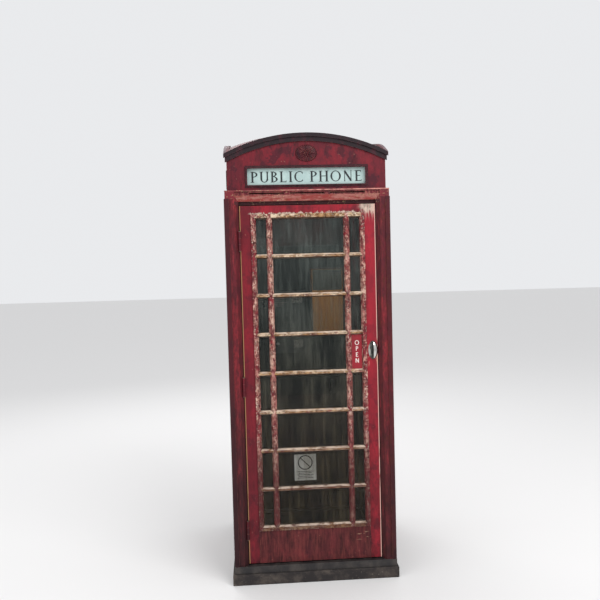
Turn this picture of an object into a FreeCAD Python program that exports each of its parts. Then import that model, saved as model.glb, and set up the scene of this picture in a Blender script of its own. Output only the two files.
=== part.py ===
"""A cast-iron street telephone booth with a teak door, glazed on three sides, with a wall telephone inside.

Frame: +Z up, the front (the door) faces -Y, and the origin is on the ground under the centre of the booth.
Four-sided pieces are drawn once for the front and turned by quarter turns about Z.
Every length is in millimetres and comes from the spreadsheet "Sizes".
"""

import FreeCAD, Part
import os
import Sketcher

doc = FreeCAD.newDocument("telephone_booth")
sheet = doc.addObject("Spreadsheet::Sheet", "Sizes")
nodes = []


class Size:
    """A number that remembers the spreadsheet expression it comes from."""

    def __init__(self, value, text):
        self.value = float(value)
        self.text = text

    def __add__(self, other):
        return joined(self, "+", other, self.value + number(other))

    def __radd__(self, other):
        return joined(other, "+", self, number(other) + self.value)

    def __sub__(self, other):
        return joined(self, "-", other, self.value - number(other))

    def __rsub__(self, other):
        return joined(other, "-", self, number(other) - self.value)

    def __mul__(self, other):
        return joined(self, "*", other, self.value * number(other))

    def __rmul__(self, other):
        return joined(other, "*", self, number(other) * self.value)

    def __truediv__(self, other):
        return joined(self, "/", other, self.value / number(other))

    def __neg__(self):
        return Size(-self.value, f"(0 - {self.text})")


def number(thing):
    return thing.value if isinstance(thing, Size) else float(thing)


def words(thing):
    return thing.text if isinstance(thing, Size) else repr(float(thing))


def joined(left, sign, right, value):
    return Size(value, f"({words(left)} {sign} {words(right)})")


def root(inside):
    return Size(inside.value**0.5, f"sqrt({inside.text})")


def size(name, value, note):
    """Write one driving size into the next row of the sheet and return it."""
    size.row += 1
    sheet.set(f"A{size.row}", name)
    sheet.set(f"B{size.row}", str(value))
    sheet.set(f"C{size.row}", note)
    sheet.setAlias(f"B{size.row}", name)
    return Size(value, f"Sizes.{name}")


size.row = 0

# ---------------------------------------------------------------- driving sizes

# base, sill and posts
body_width = size("body_width", 900, "outside of the corner posts, on all four sides")
base_margin = size("base_margin", 10, "how far the concrete base stands out past the posts")
base_height = size("base_height", 60, "concrete base above the ground")
screed_height = size("screed_height", 35, "floor inside the sill, above the base")
sill_height = size("sill_height", 40, "cast sill ring under the posts and the door")
anchor_spacing = size("anchor_spacing", 600, "between the holding-down holes, both ways")
anchor_radius = size("anchor_radius", 9, "holding-down hole for a 16 mm bolt")
bead_width = size("bead_width", 27, "square bead on the post's outer corner")
bead_round = size("bead_round", 12, "rounding of that bead")
post_rise = size("post_rise", 32, "how far the bead and flat face run up past the door's head")
face_drop = size("face_drop", 5, "post's flat face behind the bead")
splay_width = size("splay_width", 21, "splay from the flat face to the jamb")
corner_web = size("corner_web", 6, "jamb beyond the back of the neighbouring jamb")
splay_drop = size("splay_drop", 25, "inner edge of the splay, behind the bead: the door's face")
stop_gap = size("stop_gap", 1, "door to its stop")
stop_lip = size("stop_lip", 15, "stop beyond the jamb")
stop_thickness = size("stop_thickness", 13, "stop, front to back")
post_wall = size("post_wall", 22, "outer wall of the hollow post, behind the bead")
jamb_wall = size("jamb_wall", 12, "wall of the hollow post at the jamb")

# door and glazing
door_thickness = size("door_thickness", 45, "teak stiles and rails")
side_gap = size("side_gap", 4, "door to jamb, each side")
foot_gap = size("foot_gap", 6, "door to sill")
head_gap = size("head_gap", 6, "door to lintel")
stile_width = size("stile_width", 60, "door stile")
top_rail_height = size("top_rail_height", 46, "door top rail")
bottom_rail_height = size("bottom_rail_height", 180, "door bottom rail")
frame_member = size("frame_member", 27, "outer member of a glazing frame")
frame_depth = size("frame_depth", 28, "glazing frame, front to back")
frame_proud = size("frame_proud", 6, "glazing frame in front of the door's face")
upright_bar = size("upright_bar", 32, "upright glazing bar")
cross_bar = size("cross_bar", 24, "cross glazing bar")
margin_pane = size("margin_pane", 56, "width of a margin pane")
pane_height = size("pane_height", 189.5, "height of every pane")
pane_rows = size("pane_rows", 8, "rows of panes")
sign_row = size("sign_row", 4, "row of the door's enamel plate, counted up from 0")
glass_thickness = size("glass_thickness", 4, "window glass")
glass_drop = size("glass_drop", 12, "glass behind the glazing frame's face")
side_plate = size("side_plate", 18, "cast side and back surrounds")
back_web = size("back_web", 8, "plate across the back panel")

# hinges and pull handle
hinge_out = size("hinge_out", 9, "hinge pin's centre in front of the door's face")
hinge_pin_radius = size("hinge_pin_radius", 3.5, "hinge pin")
hinge_play = size("hinge_play", 0.08, "radial clearance of pin in knuckle")
knuckle_radius = size("knuckle_radius", 7, "hinge knuckle")
knuckle_gap = size("knuckle_gap", 0.6, "between neighbouring knuckles")
leaf_thickness = size("leaf_thickness", 1.7, "hinge leaf")
leaf_height = size("leaf_height", 102, "hinge leaf")
leaf_depth = size("leaf_depth", 40, "hinge leaf over the door's edge")
hinge_inset = size("hinge_inset", 190, "hinge's middle from the door's end")
handle_height = size("handle_height", 1269, "middle of the pull handle above the ground")
handle_half_width = size("handle_half_width", 26, "half width of the pull handle")
handle_half_height = size("handle_half_height", 51, "half height of the pull handle")
handle_plate = size("handle_plate", 3, "pull handle's back plate")
hood_depth = size("hood_depth", 24, "hood in front of the back plate's back")
hood_wall = size("hood_wall", 2.5, "wall of the hood")

# lintel, fascia and roof
head_stop = size("head_stop", 17, "recess over the door")
recess_depth = size("recess_depth", 21, "that recess, behind the splay's inner edge")
head_splay = size("head_splay", 30, "height of the lintel's splay")
vent_band = size("vent_band", 23, "ventilated band over the splay")
vent_drop = size("vent_drop", 16, "that band behind the bead")
vent_height = size("vent_height", 7, "ventilation slot")
vent_length = size("vent_length", 190, "length of one slot")
vent_pitch = size("vent_pitch", 220, "between slots")
fillet_height = size("fillet_height", 6, "fillet on top of the lintel")
fillet_drop = size("fillet_drop", 4, "that fillet behind the bead")
fascia_drop = size("fascia_drop", 20, "fascia face behind the bead")
fascia_plate = size("fascia_plate", 14, "fascia casting")
sign_rise = size("sign_rise", 27.5, "sign opening above the lintel")
sign_width = size("sign_width", 641, "sign opening")
sign_height = size("sign_height", 91, "sign opening")
sign_lap = size("sign_lap", 12, "opal glass behind the opening's edge")
sign_glass_thickness = size("sign_glass_thickness", 6, "opal glass")
sign_frame_width = size("sign_frame_width", 13, "frame round the sign")
sign_frame_proud = size("sign_frame_proud", 4, "outer step of that frame")
sign_bead_width = size("sign_bead_width", 6, "inner bead of that frame")
sign_bead_proud = size("sign_bead_proud", 8, "inner bead in front of the fascia")
crown_height = size("crown_height", 303, "top of the arch above the lintel")
arch_radius = size("arch_radius", 975, "outer radius of the arch")
arch_band = size("arch_band", 44, "arch moulding")
arch_bead = size("arch_bead", 20, "upper step of the moulding")
arch_proud = size("arch_proud", 15, "upper step in front of the fascia")
arch_step = size("arch_step", 7, "lower step behind the upper step")
arch_back = size("arch_back", 15, "moulding behind the fascia's face")
arch_gap = size("arch_gap", 0.3, "fascia to the moulding over it")
dome_rise = size("dome_rise", 60, "dome above the arches")
dome_tuck = size("dome_tuck", 18, "dome's edge below the arches' tops")
dome_shell = size("dome_shell", 12, "dome casting")
rosette_half_width = size("rosette_half_width", 62, "cast rosette over the sign")
rosette_half_height = size("rosette_half_height", 49, "cast rosette over the sign")
rosette_proud = size("rosette_proud", 14, "cast rosette")
rosette_lift = size("rosette_lift", 6, "rosette above the middle of the space it fills")
ceiling_plate = size("ceiling_plate", 6, "ceiling panel")
bolt_radius = size("bolt_radius", 12, "hexagon bolt head, to its corners")
bolt_head = size("bolt_head", 9, "bolt head's height")
bolt_corner = size("bolt_corner", 36, "bolt from the inside corner")

# lamp
lamp_radius = size("lamp_radius", 80, "ceiling lamp's base")
lamp_base_height = size("lamp_base_height", 14, "ceiling lamp's base")
globe_radius = size("globe_radius", 72, "opal globe")
globe_drop = size("globe_drop", 56, "opal globe below its base")
globe_wall = size("globe_wall", 3, "wall of the globe")

# backboard, shelf and notice board
board_side = size("board_side", 56, "cabin's inside to the backboard's edge")
board_low = size("board_low", 880, "bottom of the backboard")
board_head = size("board_head", 196, "space over the backboard, up to the lintel")
board_plate = size("board_plate", 18, "backboard")
shelf_level = size("shelf_level", 1010, "underside of the shelf")
shelf_width = size("shelf_width", 560, "shelf")
shelf_depth = size("shelf_depth", 190, "shelf")
shelf_plate = size("shelf_plate", 18, "shelf")
bracket_plate = size("bracket_plate", 6, "shelf bracket")
bracket_height = size("bracket_height", 110, "shelf bracket")
bracket_inset = size("bracket_inset", 190, "shelf bracket from the middle")
notice_gap = size("notice_gap", 45, "notice board from the telephone's case")
notice_margin = size("notice_margin", 14, "notice board from the backboard's edge")
notice_low = size("notice_low", 1290, "notice board")
notice_height = size("notice_height", 440, "notice board")
notice_plate = size("notice_plate", 12, "notice board")

# telephone
phone_left = size("phone_left", -215, "left side of the telephone's case")
phone_width = size("phone_width", 240, "telephone's case")
phone_low = size("phone_low", 1180, "bottom of the telephone's case")
phone_height = size("phone_height", 400, "telephone's case")
case_depth = size("case_depth", 80, "rear case")
cover_depth = size("cover_depth", 50, "front cover")
case_wall = size("case_wall", 3, "wall of case and cover")
dial_rise = size("dial_rise", 225, "dial's centre above the case's bottom")
dial_radius = size("dial_radius", 46, "dial plate")
dial_plate_depth = size("dial_plate_depth", 6, "dial plate")
wheel_radius = size("wheel_radius", 38, "finger wheel")
wheel_plate = size("wheel_plate", 4, "finger wheel")
wheel_gap = size("wheel_gap", 1, "finger wheel to dial plate")
hub_radius = size("hub_radius", 5, "dial hub")
hub_play = size("hub_play", 0.1, "wheel bore around the hub")
hub_cap_radius = size("hub_cap_radius", 15, "cap that keeps the wheel on")
finger_hole_radius = size("finger_hole_radius", 6, "finger hole")
finger_hole_circle = size("finger_hole_circle", 28, "radius of the circle of finger holes")
finger_holes = size("finger_holes", 10, "number of finger holes")
stop_width = size("stop_width", 5, "finger stop")
cup_width = size("cup_width", 60, "refund cup")
cup_height = size("cup_height", 50, "refund cup")
cup_depth = size("cup_depth", 44, "refund cup")
cup_wall = size("cup_wall", 2, "refund cup")
cup_right = size("cup_right", 20, "refund cup from the case's right side")
cup_rise = size("cup_rise", 35, "refund cup above the case's bottom")
flap_plate = size("flap_plate", 2, "refund flap")
flap_play = size("flap_play", 0.5, "refund flap to the cup, all round")
flap_pin_radius = size("flap_pin_radius", 1.2, "refund flap's pivot pin")
flap_pin_play = size("flap_pin_play", 0.1, "that pin in the cup's wall")
button_radius = size("button_radius", 10, "press button")
button_play = size("button_play", 0.4, "press button in its hole")
button_proud = size("button_proud", 8, "press button in front of the cover")
button_inset = size("button_inset", 55, "press button from the case's left side")
button_rise = size("button_rise", 62, "press button above the case's bottom")
slot_plate_width = size("slot_plate_width", 70, "coin slot plate")
slot_plate_height = size("slot_plate_height", 46, "coin slot plate")
slot_plate_depth = size("slot_plate_depth", 3, "coin slot plate")
coin_width = size("coin_width", 34, "coin slot")
coin_gap = size("coin_gap", 3, "coin slot")

# handset and its hook
handset_out = size("handset_out", 45, "handset's axis from the case's side")
handset_depth = size("handset_depth", 60, "handset's axis in front of the backboard")
handset_rise = size("handset_rise", 320, "earpiece's centre above the case's bottom")
handset_length = size("handset_length", 205, "earpiece to mouthpiece")
head_radius = size("head_radius", 27, "earpiece and mouthpiece")
head_front = size("head_front", 8, "head in front of the handset's axis")
head_back = size("head_back", 16, "head behind the handset's axis")
cap_depth = size("cap_depth", 6, "screw cap on each head")
grip_radius = size("grip_radius", 13, "handset's grip")
prong_radius = size("prong_radius", 4, "prong of the hook")
prong_side = size("prong_side", 18, "prong's centre beside the grip's")
rest_gap = size("rest_gap", 0.4, "handset to hook at rest")
hook_gap = size("hook_gap", 3, "hook's crossbar behind the handset's cap")
lug_out = size("lug_out", 10, "hook's pivot from the case's side")
lug_plate = size("lug_plate", 5, "each lug that holds the pivot")
pivot_radius = size("pivot_radius", 2.5, "hook's pivot pin")
pivot_play = size("pivot_play", 0.1, "pivot pin in the hook")
barrel_radius = size("barrel_radius", 5.5, "hook's barrel on the pivot pin")
barrel_length = size("barrel_length", 12, "hook's barrel")
lug_gap = size("lug_gap", 0.5, "barrel to lug")
gland_radius = size("gland_radius", 8, "cord gland under the case")
gland_length = size("gland_length", 16, "cord gland")
gland_bore = size("gland_bore", 3.5, "cord gland's bore")

doc.recompute()

# ---------------------------------------------------------------- worked-out levels and half widths

half = body_width / 2
stop_drop = splay_drop + door_thickness + stop_gap
post_depth = stop_drop + stop_thickness
jamb_reach = stop_drop + corner_web
flat_reach = jamb_reach - splay_width
stop_reach = jamb_reach + stop_lip
opening_half = half - jamb_reach
door_half = opening_half - side_gap
window_half = door_half - stile_width
clear_half = window_half - frame_member
bar_outer = clear_half - margin_pane
centre_half = bar_outer - upright_bar
inner_half = half - post_depth
door_face = half - splay_drop
board_half = inner_half - board_side
fascia_face = half - fascia_drop
rows = int(pane_rows.value)

sill_top = base_height + sill_height
door_low = sill_top + foot_gap
window_low = door_low + bottom_rail_height
clear_low = window_low + frame_member
row_pitch = pane_height + cross_bar
clear_height = row_pitch * pane_rows - cross_bar
window_top = clear_low + clear_height + frame_member
door_top = window_top + top_rail_height
post_top = door_top + head_gap
splay_low = post_top + head_stop
splay_high = splay_low + head_splay
band_top = splay_high + vent_band
lintel_top = band_top + fillet_height
arch_top = lintel_top + crown_height
arch_centre = arch_top - arch_radius
total_height = arch_top + dome_rise
far = body_width


# ---------------------------------------------------------------- drawing helpers


def bind(thing, path, value):
    """Set a property from a size and keep it tied to the sheet."""
    if isinstance(value, Size):
        thing.setExpression(path, value.text)
    else:
        setattr(thing, path, value)


def seat(thing, at, turn=None):
    """Put a thing at a point made of sizes, with a fixed turn."""
    turn = turn or FreeCAD.Rotation()
    thing.Placement = FreeCAD.Placement(FreeCAD.Vector(*[number(c) for c in at]), turn)
    for letter, value in zip("xyz", at):
        if isinstance(value, Size):
            thing.setExpression(f"Placement.Base.{letter}", value.text)
    return thing


def block(x, y, z):
    """A box between two values along each axis."""
    made = doc.addObject("Part::Box", "block")
    for side, (low, high) in zip(("Length", "Width", "Height"), (x, y, z)):
        bind(made, side, high - low)
    return seat(made, (x[0], y[0], z[0]))


ALONG = {
    "z": FreeCAD.Rotation(),
    "y": FreeCAD.Rotation(FreeCAD.Vector(1, 0, 0), -90),
    "x": FreeCAD.Rotation(FreeCAD.Vector(0, 1, 0), 90),
}


def rod(radius, start, length, along):
    """A cylinder that starts at a point and runs along +X, +Y or +Z."""
    made = doc.addObject("Part::Cylinder", "rod")
    bind(made, "Radius", radius)
    bind(made, "Height", length)
    return seat(made, start, ALONG[along])


def egg(centre, across, deep, tall):
    """An ellipsoid from its three half sizes along X, Y and Z."""
    made = doc.addObject("Part::Ellipsoid", "egg")
    bind(made, "Radius1", tall)
    bind(made, "Radius2", across)
    bind(made, "Radius3", deep)
    return seat(made, centre)


def fuse(*pieces):
    made = doc.addObject("Part::MultiFuse", "fused")
    made.Shapes = list(pieces)
    made.Refine = True
    return made


def cut(base, *tools):
    made = doc.addObject("Part::Cut", "cut")
    made.Base = base
    made.Tool = tools[0] if len(tools) == 1 else fuse(*tools)
    made.Refine = True
    return made


def common(first, second):
    made = doc.addObject("Part::Common", "common")
    made.Base = first
    made.Tool = second
    made.Refine = True
    return made


def group(pieces):
    made = doc.addObject("Part::Compound", "group")
    made.Links = list(pieces)
    return made


def node(name, made):
    """Name a finished sub-part and keep it for export."""
    made.Label = name
    nodes.append(made)
    return made


def quarter(made, number_of_turns):
    """Turn a front piece about Z to another side."""
    spin = FreeCAD.Rotation(FreeCAD.Vector(0, 0, 1), 90 * number_of_turns)
    made.Placement = FreeCAD.Placement(FreeCAD.Vector(), spin)
    return made


def mitre(low, high):
    """The wedge of plan between the two diagonals, on the front side."""
    made = doc.addObject("Part::Wedge", "mitre")
    for path, value in (("Xmin", -far), ("Xmax", far), ("Ymin", -far), ("Zmin", low), ("Zmax", high)):
        bind(made, path, value)
    for path, value in (("Z2min", low), ("Z2max", high)):
        bind(made, path, value)
    made.X2min = made.X2max = made.Ymax = 0
    return made


def origin_plane(body, role):
    return [item for item in body.Origin.OriginFeatures if item.Role == role][0]


def sketch(body, name, role, outlines, offset=None):
    """A sketch of closed outlines, each corner held by two dimensions from the origin."""
    made = body.newObject("Sketcher::SketchObject", name)
    made.AttachmentSupport = [(origin_plane(body, role), "")]
    made.MapMode = "FlatFace"
    if offset is not None:
        made.setExpression("AttachmentOffset.Base.z", offset.text)
    for corners in outlines:
        first = made.GeometryCount
        count = len(corners)
        places = [FreeCAD.Vector(number(across), number(up), 0) for across, up in corners]
        for i in range(count):
            made.addGeometry(Part.LineSegment(places[i], places[(i + 1) % count]))
        for i in range(count):
            made.addConstraint(Sketcher.Constraint("Coincident", first + i, 2, first + (i + 1) % count, 1))
        for i, corner in enumerate(corners):
            for kind, value in zip(("DistanceX", "DistanceY"), corner):
                held = made.addConstraint(Sketcher.Constraint(kind, -1, 1, first + i, 1, number(value)))
                if isinstance(value, Size):
                    made.setExpression(f"Constraints[{held}]", value.text)
    return made


def rectangle(x, z):
    return [(x[0], z[0]), (x[1], z[0]), (x[1], z[1]), (x[0], z[1])]


def pad(body, name, profile, length):
    made = body.newObject("PartDesign::Pad", name)
    made.Profile = profile
    bind(made, "Length", length)
    doc.recompute()
    return made


def pocket(body, name, profile):
    """Cut a profile right through the body, both ways."""
    made = body.newObject("PartDesign::Pocket", name)
    made.Profile = profile
    made.Type = "ThroughAll"
    made.Midplane = True
    doc.recompute()
    return made


# ---------------------------------------------------------------- base and sill


def base_slab():
    reach = half + base_margin
    slab = block((-reach, reach), (-reach, reach), (Size(0, "0"), base_height))
    screed = block(
        (-inner_half, inner_half), (-inner_half, inner_half), (base_height, base_height + screed_height)
    )
    side = anchor_spacing / 2
    holes = [
        rod(anchor_radius, (x, y, Size(0, "0")), base_height + screed_height, "z")
        for x in (-side, side)
        for y in (-side, side)
    ]
    return cut(fuse(slab, screed), *holes)


def sill_frame():
    outer = block((-half, half), (-half, half), (base_height, sill_top))
    inner = block((-inner_half, inner_half), (-inner_half, inner_half), (base_height, sill_top))
    return cut(outer, inner)


# ---------------------------------------------------------------- corner posts


def folded(face, inner):
    """A post's outline: one face's points from the outer corner, and the same points for the other face."""
    corner = Size(0, "0")
    return [(corner, corner)] + face + [(inner, inner)] + [(b, a) for a, b in reversed(face)]


def corner_post(name, sides):
    """Hollow post: outer bead, flat, splay, jamb and stop lip, the same on both faces.

    The bead and flat run up past the door's head as a stub under the lintels' corner.
    """
    body = doc.addObject("PartDesign::Body", name)
    zero = Size(0, "0")
    flat = [(zero, bead_width), (face_drop, bead_width), (face_drop, flat_reach)]
    face = flat + [
        (splay_drop, jamb_reach),
        (stop_drop, jamb_reach),
        (stop_drop, stop_reach),
        (post_depth, stop_reach),
    ]
    tall = post_top - sill_top
    section = sketch(body, "section", "XY_Plane", [folded(face, post_depth)])
    pad(body, "shaft", section, tall)
    stub_section = sketch(body, "stub_section", "XY_Plane", [folded(flat, flat_reach)], tall)
    stub = pad(body, "stub", stub_section, post_rise)
    edges = [
        f"Edge{i + 1}"
        for i, e in enumerate(stub.Shape.Edges)
        if all(abs(v.X) < 1e-6 and abs(v.Y) < 1e-6 for v in e.Vertexes)
    ]
    rounding = body.newObject("PartDesign::Fillet", "bead_round")
    rounding.Base = (stub, edges)
    bind(rounding, "Radius", bead_round)
    doc.recompute()
    core = (post_wall, jamb_reach - jamb_wall)
    pocket(body, "hollow", sketch(body, "hollow_section", "XY_Plane", [rectangle(core, core)]))
    turn = FreeCAD.Rotation(FreeCAD.Vector(0, 0, 1), 90 * sides)
    signs = [(-1, -1), (1, -1), (1, 1), (-1, 1)][sides]
    return seat(body, (half * signs[0], half * signs[1], sill_top), turn)


# ---------------------------------------------------------------- lintel, fascia, sign and roof


def lintel():
    """Head casting of one side: door recess, splay, ventilated band and fillet, mitred at the corners."""
    face = half - face_drop
    body = block((-face, face), (-face, -inner_half), (post_top, splay_high))
    splay = doc.addObject("Part::Wedge", "splay")
    wide = half - flat_reach
    for path, value in (
        ("Xmin", -wide),
        ("Xmax", wide),
        ("Ymin", -face),
        ("Zmin", post_top),
        ("Zmax", splay_high),
        ("X2min", -opening_half),
        ("X2max", opening_half),
        ("Ymax", -door_face),
        ("Z2min", post_top),
        ("Z2max", splay_low),
    ):
        bind(splay, path, value)
    recess_back = door_face - recess_depth
    recess = block((-opening_half, opening_half), (-door_face, -recess_back), (post_top, splay_low))
    band_face = half - vent_drop
    band = block((-band_face, band_face), (-band_face, -inner_half), (splay_high, band_top))
    fillet_face = half - fillet_drop
    fillet = block((-fillet_face, fillet_face), (-fillet_face, -inner_half), (band_top, lintel_top))
    corners = [
        block((low, low + flat_reach - face_drop), (-face, -inner_half), (splay_high, band_top))
        for low in (-face, half - flat_reach)
    ]
    stubs = [
        block((low, low + flat_reach), (-half, flat_reach - half), (post_top, post_top + post_rise))
        for low in (-half, half - flat_reach)
    ]
    middle = splay_high + vent_band / 2
    slots = [
        block(
            (vent_pitch * i - vent_length / 2, vent_pitch * i + vent_length / 2),
            (-band_face, -inner_half),
            (middle - vent_height / 2, middle + vent_height / 2),
        )
        for i in (-1, 0, 1)
    ]
    whole = cut(fuse(cut(body, splay, recess), band, fillet, *corners), *slots, *stubs)
    return common(whole, mitre(post_top, lintel_top))


def pediment():
    """Arched fascia plate of one side with the sign's opening."""
    back = fascia_face - fascia_plate
    plate = block((-fascia_face, fascia_face), (-fascia_face, -back), (lintel_top, arch_top))
    under_arch = rod(arch_radius - arch_band - arch_gap, (0, -fascia_face, arch_centre), fascia_plate, "y")
    low = lintel_top + sign_rise
    window = block(
        (-sign_width / 2, sign_width / 2), (-fascia_face, -back), (low, low + sign_height)
    )
    return common(cut(common(plate, under_arch), window), mitre(lintel_top, arch_top))


def sign_glass():
    front = fascia_face - fascia_plate
    low = lintel_top + sign_rise - sign_lap
    reach = sign_width / 2 + sign_lap
    return block(
        (-reach, reach), (-front, sign_glass_thickness - front), (low, low + sign_height + sign_lap * 2)
    )


def sign_ring(width, proud):
    low = lintel_top + sign_rise
    high = low + sign_height
    reach = sign_width / 2
    outer = block(
        (-reach - width, reach + width), (-fascia_face - proud, -fascia_face), (low - width, high + width)
    )
    inner = block((-reach, reach), (-fascia_face - proud, -fascia_face), (low, high))
    return cut(outer, inner)


def sign_frame():
    return fuse(sign_ring(sign_frame_width, sign_frame_proud), sign_ring(sign_bead_width, sign_bead_proud))


def rosette():
    """Plain cast boss over the sign."""
    space = crown_height - arch_band - sign_rise - sign_height
    middle = lintel_top + sign_rise + sign_height + space / 2 + rosette_lift
    boss = egg(
        (Size(0, "0"), -fascia_face, middle), rosette_half_width, rosette_proud, rosette_half_height
    )
    front = block(
        (-rosette_half_width * 2, rosette_half_width * 2),
        (-fascia_face - rosette_proud * 2, -fascia_face),
        (middle - rosette_half_height * 2, middle + rosette_half_height * 2),
    )
    return common(boss, front)


def arch_ring(outer, inner, proud):
    """One step of the arched moulding of one side."""
    front = fascia_face + proud
    back = fascia_face - arch_back
    start = (0, -front, arch_centre)
    ring = cut(rod(outer, start, front - back, "y"), rod(inner, start, front - back, "y"))
    strip = block((-front, front), (-front, -back), (arch_centre + arch_radius / 2, arch_top + dome_rise))
    return common(ring, strip)


def arch_moulding(sides):
    upper = arch_ring(arch_radius, arch_radius - arch_bead, arch_proud)
    lower = arch_ring(arch_radius - arch_bead, arch_radius - arch_band, arch_proud - arch_step)
    whole = common(fuse(upper, lower), mitre(arch_centre, arch_top + dome_rise))
    return quarter(whole, sides)


def roof_dome():
    """Shallow dome whose edges run into four arched mouldings, cast in one piece."""
    spring = dome_rise + dome_tuck
    radius = (fascia_face * fascia_face + spring * spring) / (spring * 2)
    centre = total_height - radius
    shell = []
    for ball_radius in (radius, radius - dome_shell):
        ball = doc.addObject("Part::Sphere", "ball")
        bind(ball, "Radius", ball_radius)
        shell.append(seat(ball, (0, 0, centre)))
    reach = fascia_face - fascia_plate
    column = block((-reach, reach), (-reach, reach), (lintel_top, total_height))
    dome = common(cut(*shell), column)
    return fuse(dome, *[arch_moulding(sides) for sides in range(4)])


def ceiling_panel():
    return block((-inner_half, inner_half), (-inner_half, inner_half), (band_top - ceiling_plate, band_top))


def frame_bolts():
    """Two hexagon heads inside each lintel, where it is bolted to the posts."""
    heads = []
    level = splay_low + head_splay / 2
    reach = inner_half - bolt_corner
    places = [(x, sides) for sides in range(4) for x in (-reach, reach)]
    for x, sides in places:
        head = doc.addObject("Part::Prism", "bolt_head")
        head.Polygon = 6
        bind(head, "Circumradius", bolt_radius)
        bind(head, "Height", bolt_head)
        spot = [(x, -inner_half), (inner_half, x), (-x, inner_half), (-inner_half, -x)][sides]
        lean = FreeCAD.Rotation(FreeCAD.Vector(0, 0, 1), 90 * sides).multiply(ALONG["y"])
        heads.append(seat(head, (spot[0], spot[1], level), lean))
    return group(heads)


# ---------------------------------------------------------------- glazing, side and back panels


def glazing_frame(name, sides):
    """Frame with eight rows of a wide pane between two margin panes."""
    body = doc.addObject("PartDesign::Body", name)
    back = door_face + frame_proud - frame_depth
    outer = sketch(
        body, "outline", "XZ_Plane", [rectangle((-window_half, window_half), (window_low, window_top))], back
    )
    pad(body, "plate", outer, frame_depth)
    first_row = (clear_low, clear_low + pane_height)
    columns = [rectangle(x, first_row) for x in pane_columns()]
    openings = sketch(body, "row_openings", "XZ_Plane", columns, back)
    row = pocket(body, "row", openings)
    pattern = body.newObject("PartDesign::LinearPattern", "all_rows")
    pattern.Originals = [row]
    pattern.Direction = (openings, ["V_Axis"])
    bind(pattern, "Length", row_pitch * (pane_rows - 1))
    pattern.setExpression("Occurrences", pane_rows.text)
    body.Tip = pattern
    doc.recompute()
    return quarter(body, sides)


def pane_columns():
    return [(-clear_half, -bar_outer), (-centre_half, centre_half), (bar_outer, clear_half)]


def pane(column, row):
    low = clear_low + row_pitch * row
    front = door_face + frame_proud - glass_drop
    return block(pane_columns()[column], (-front, glass_thickness - front), (low, low + pane_height))


def panes(sides, left_out=()):
    made = [pane(c, r) for r in range(rows) for c in range(3) if (c, r) not in left_out]
    return quarter(group(made), sides)


def side_frame():
    """Cast surround of a side window."""
    y = (-door_face, side_plate - door_face)
    outer = block((-opening_half, opening_half), y, (sill_top, post_top))
    window = block((-window_half, window_half), y, (window_low, window_top))
    return cut(outer, window)


def back_panel():
    """Cast back with a sunk field where the other sides are glazed."""
    outer = block((-opening_half, opening_half), (-door_face, side_plate - door_face), (sill_top, post_top))
    field = block(
        (-window_half, window_half), (-door_face, side_plate - back_web - door_face), (window_low, window_top)
    )
    return cut(outer, field)


# ---------------------------------------------------------------- door


def door_board(x, z):
    return block(x, (-door_face, door_thickness - door_face), z)


def hinge_levels():
    middle = (door_low + door_top) / 2
    return [door_low + hinge_inset, middle, door_top - hinge_inset]


def hinge_axis():
    return -opening_half + side_gap / 2, -door_face - hinge_out


def knuckle_spans(level):
    """Lower, middle and upper knuckle of one hinge."""
    third = leaf_height / 3
    low = level - leaf_height / 2
    gap = knuckle_gap / 2
    return [
        (low, low + third - gap),
        (low + third + gap, low + third * 2 - gap),
        (low + third * 2 + gap, low + leaf_height),
    ]


def hinge_leaf(level, leaf_x, own, others):
    """One leaf: a strip along the door's edge joined to its own knuckles and cut clear of the others."""
    x, y = hinge_axis()
    low = level - leaf_height / 2
    strip = block(leaf_x, (y, leaf_depth - door_face), (low, low + leaf_height))
    bore = rod(hinge_pin_radius + hinge_play, (x, y, low), leaf_height, "z")
    knuckles = [rod(knuckle_radius, (x, y, a), b - a, "z") for a, b in own]
    clear = [
        rod(knuckle_radius + knuckle_gap, (x, y, a - knuckle_gap), b - a + knuckle_gap * 2, "z")
        for a, b in others
    ]
    return cut(fuse(cut(strip, *clear), *knuckles), bore)


def hinge_post_leaves():
    made = []
    for level in hinge_levels():
        low, middle, high = knuckle_spans(level)
        leaf_x = (-opening_half, leaf_thickness - opening_half)
        made.append(hinge_leaf(level, leaf_x, (low, high), (middle,)))
    return group(made)


def hinge_door_leaves():
    made = []
    for level in hinge_levels():
        low, middle, high = knuckle_spans(level)
        leaf_x = (-door_half - leaf_thickness, -door_half)
        made.append(hinge_leaf(level, leaf_x, (middle,), (low, high)))
    return group(made)


def hinge_pins():
    """Pins whose domed heads sit on the post leaves' outer knuckles."""
    x, y = hinge_axis()
    head = hinge_pin_radius
    made = []
    for level in hinge_levels():
        low = level - leaf_height / 2
        pin = rod(hinge_pin_radius, (x, y, low - head), leaf_height + head * 2, "z")
        caps = [
            rod(hinge_pin_radius * 1.6, (x, y, z), head, "z") for z in (low - head, low + leaf_height)
        ]
        made.append(fuse(pin, *caps))
    return group(made)


def handle_middle():
    return door_half - handle_half_width


def handle_back_plate():
    """Oval plate on the lock stile."""
    plate = doc.addObject("Part::Ellipse", "oval")
    bind(plate, "MajorRadius", handle_half_height)
    bind(plate, "MinorRadius", handle_half_width)
    upright = FreeCAD.Rotation(FreeCAD.Vector(0, 0, 1), FreeCAD.Vector(1, 0, 0), FreeCAD.Vector(0, 1, 0))
    seat(plate, (handle_middle(), -door_face, handle_height), upright)
    made = doc.addObject("Part::Extrusion", "oval_plate")
    made.Base = plate
    made.DirMode = "Custom"
    made.Dir = FreeCAD.Vector(0, -1, 0)
    bind(made, "LengthFwd", handle_plate)
    made.Solid = True
    return made


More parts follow.
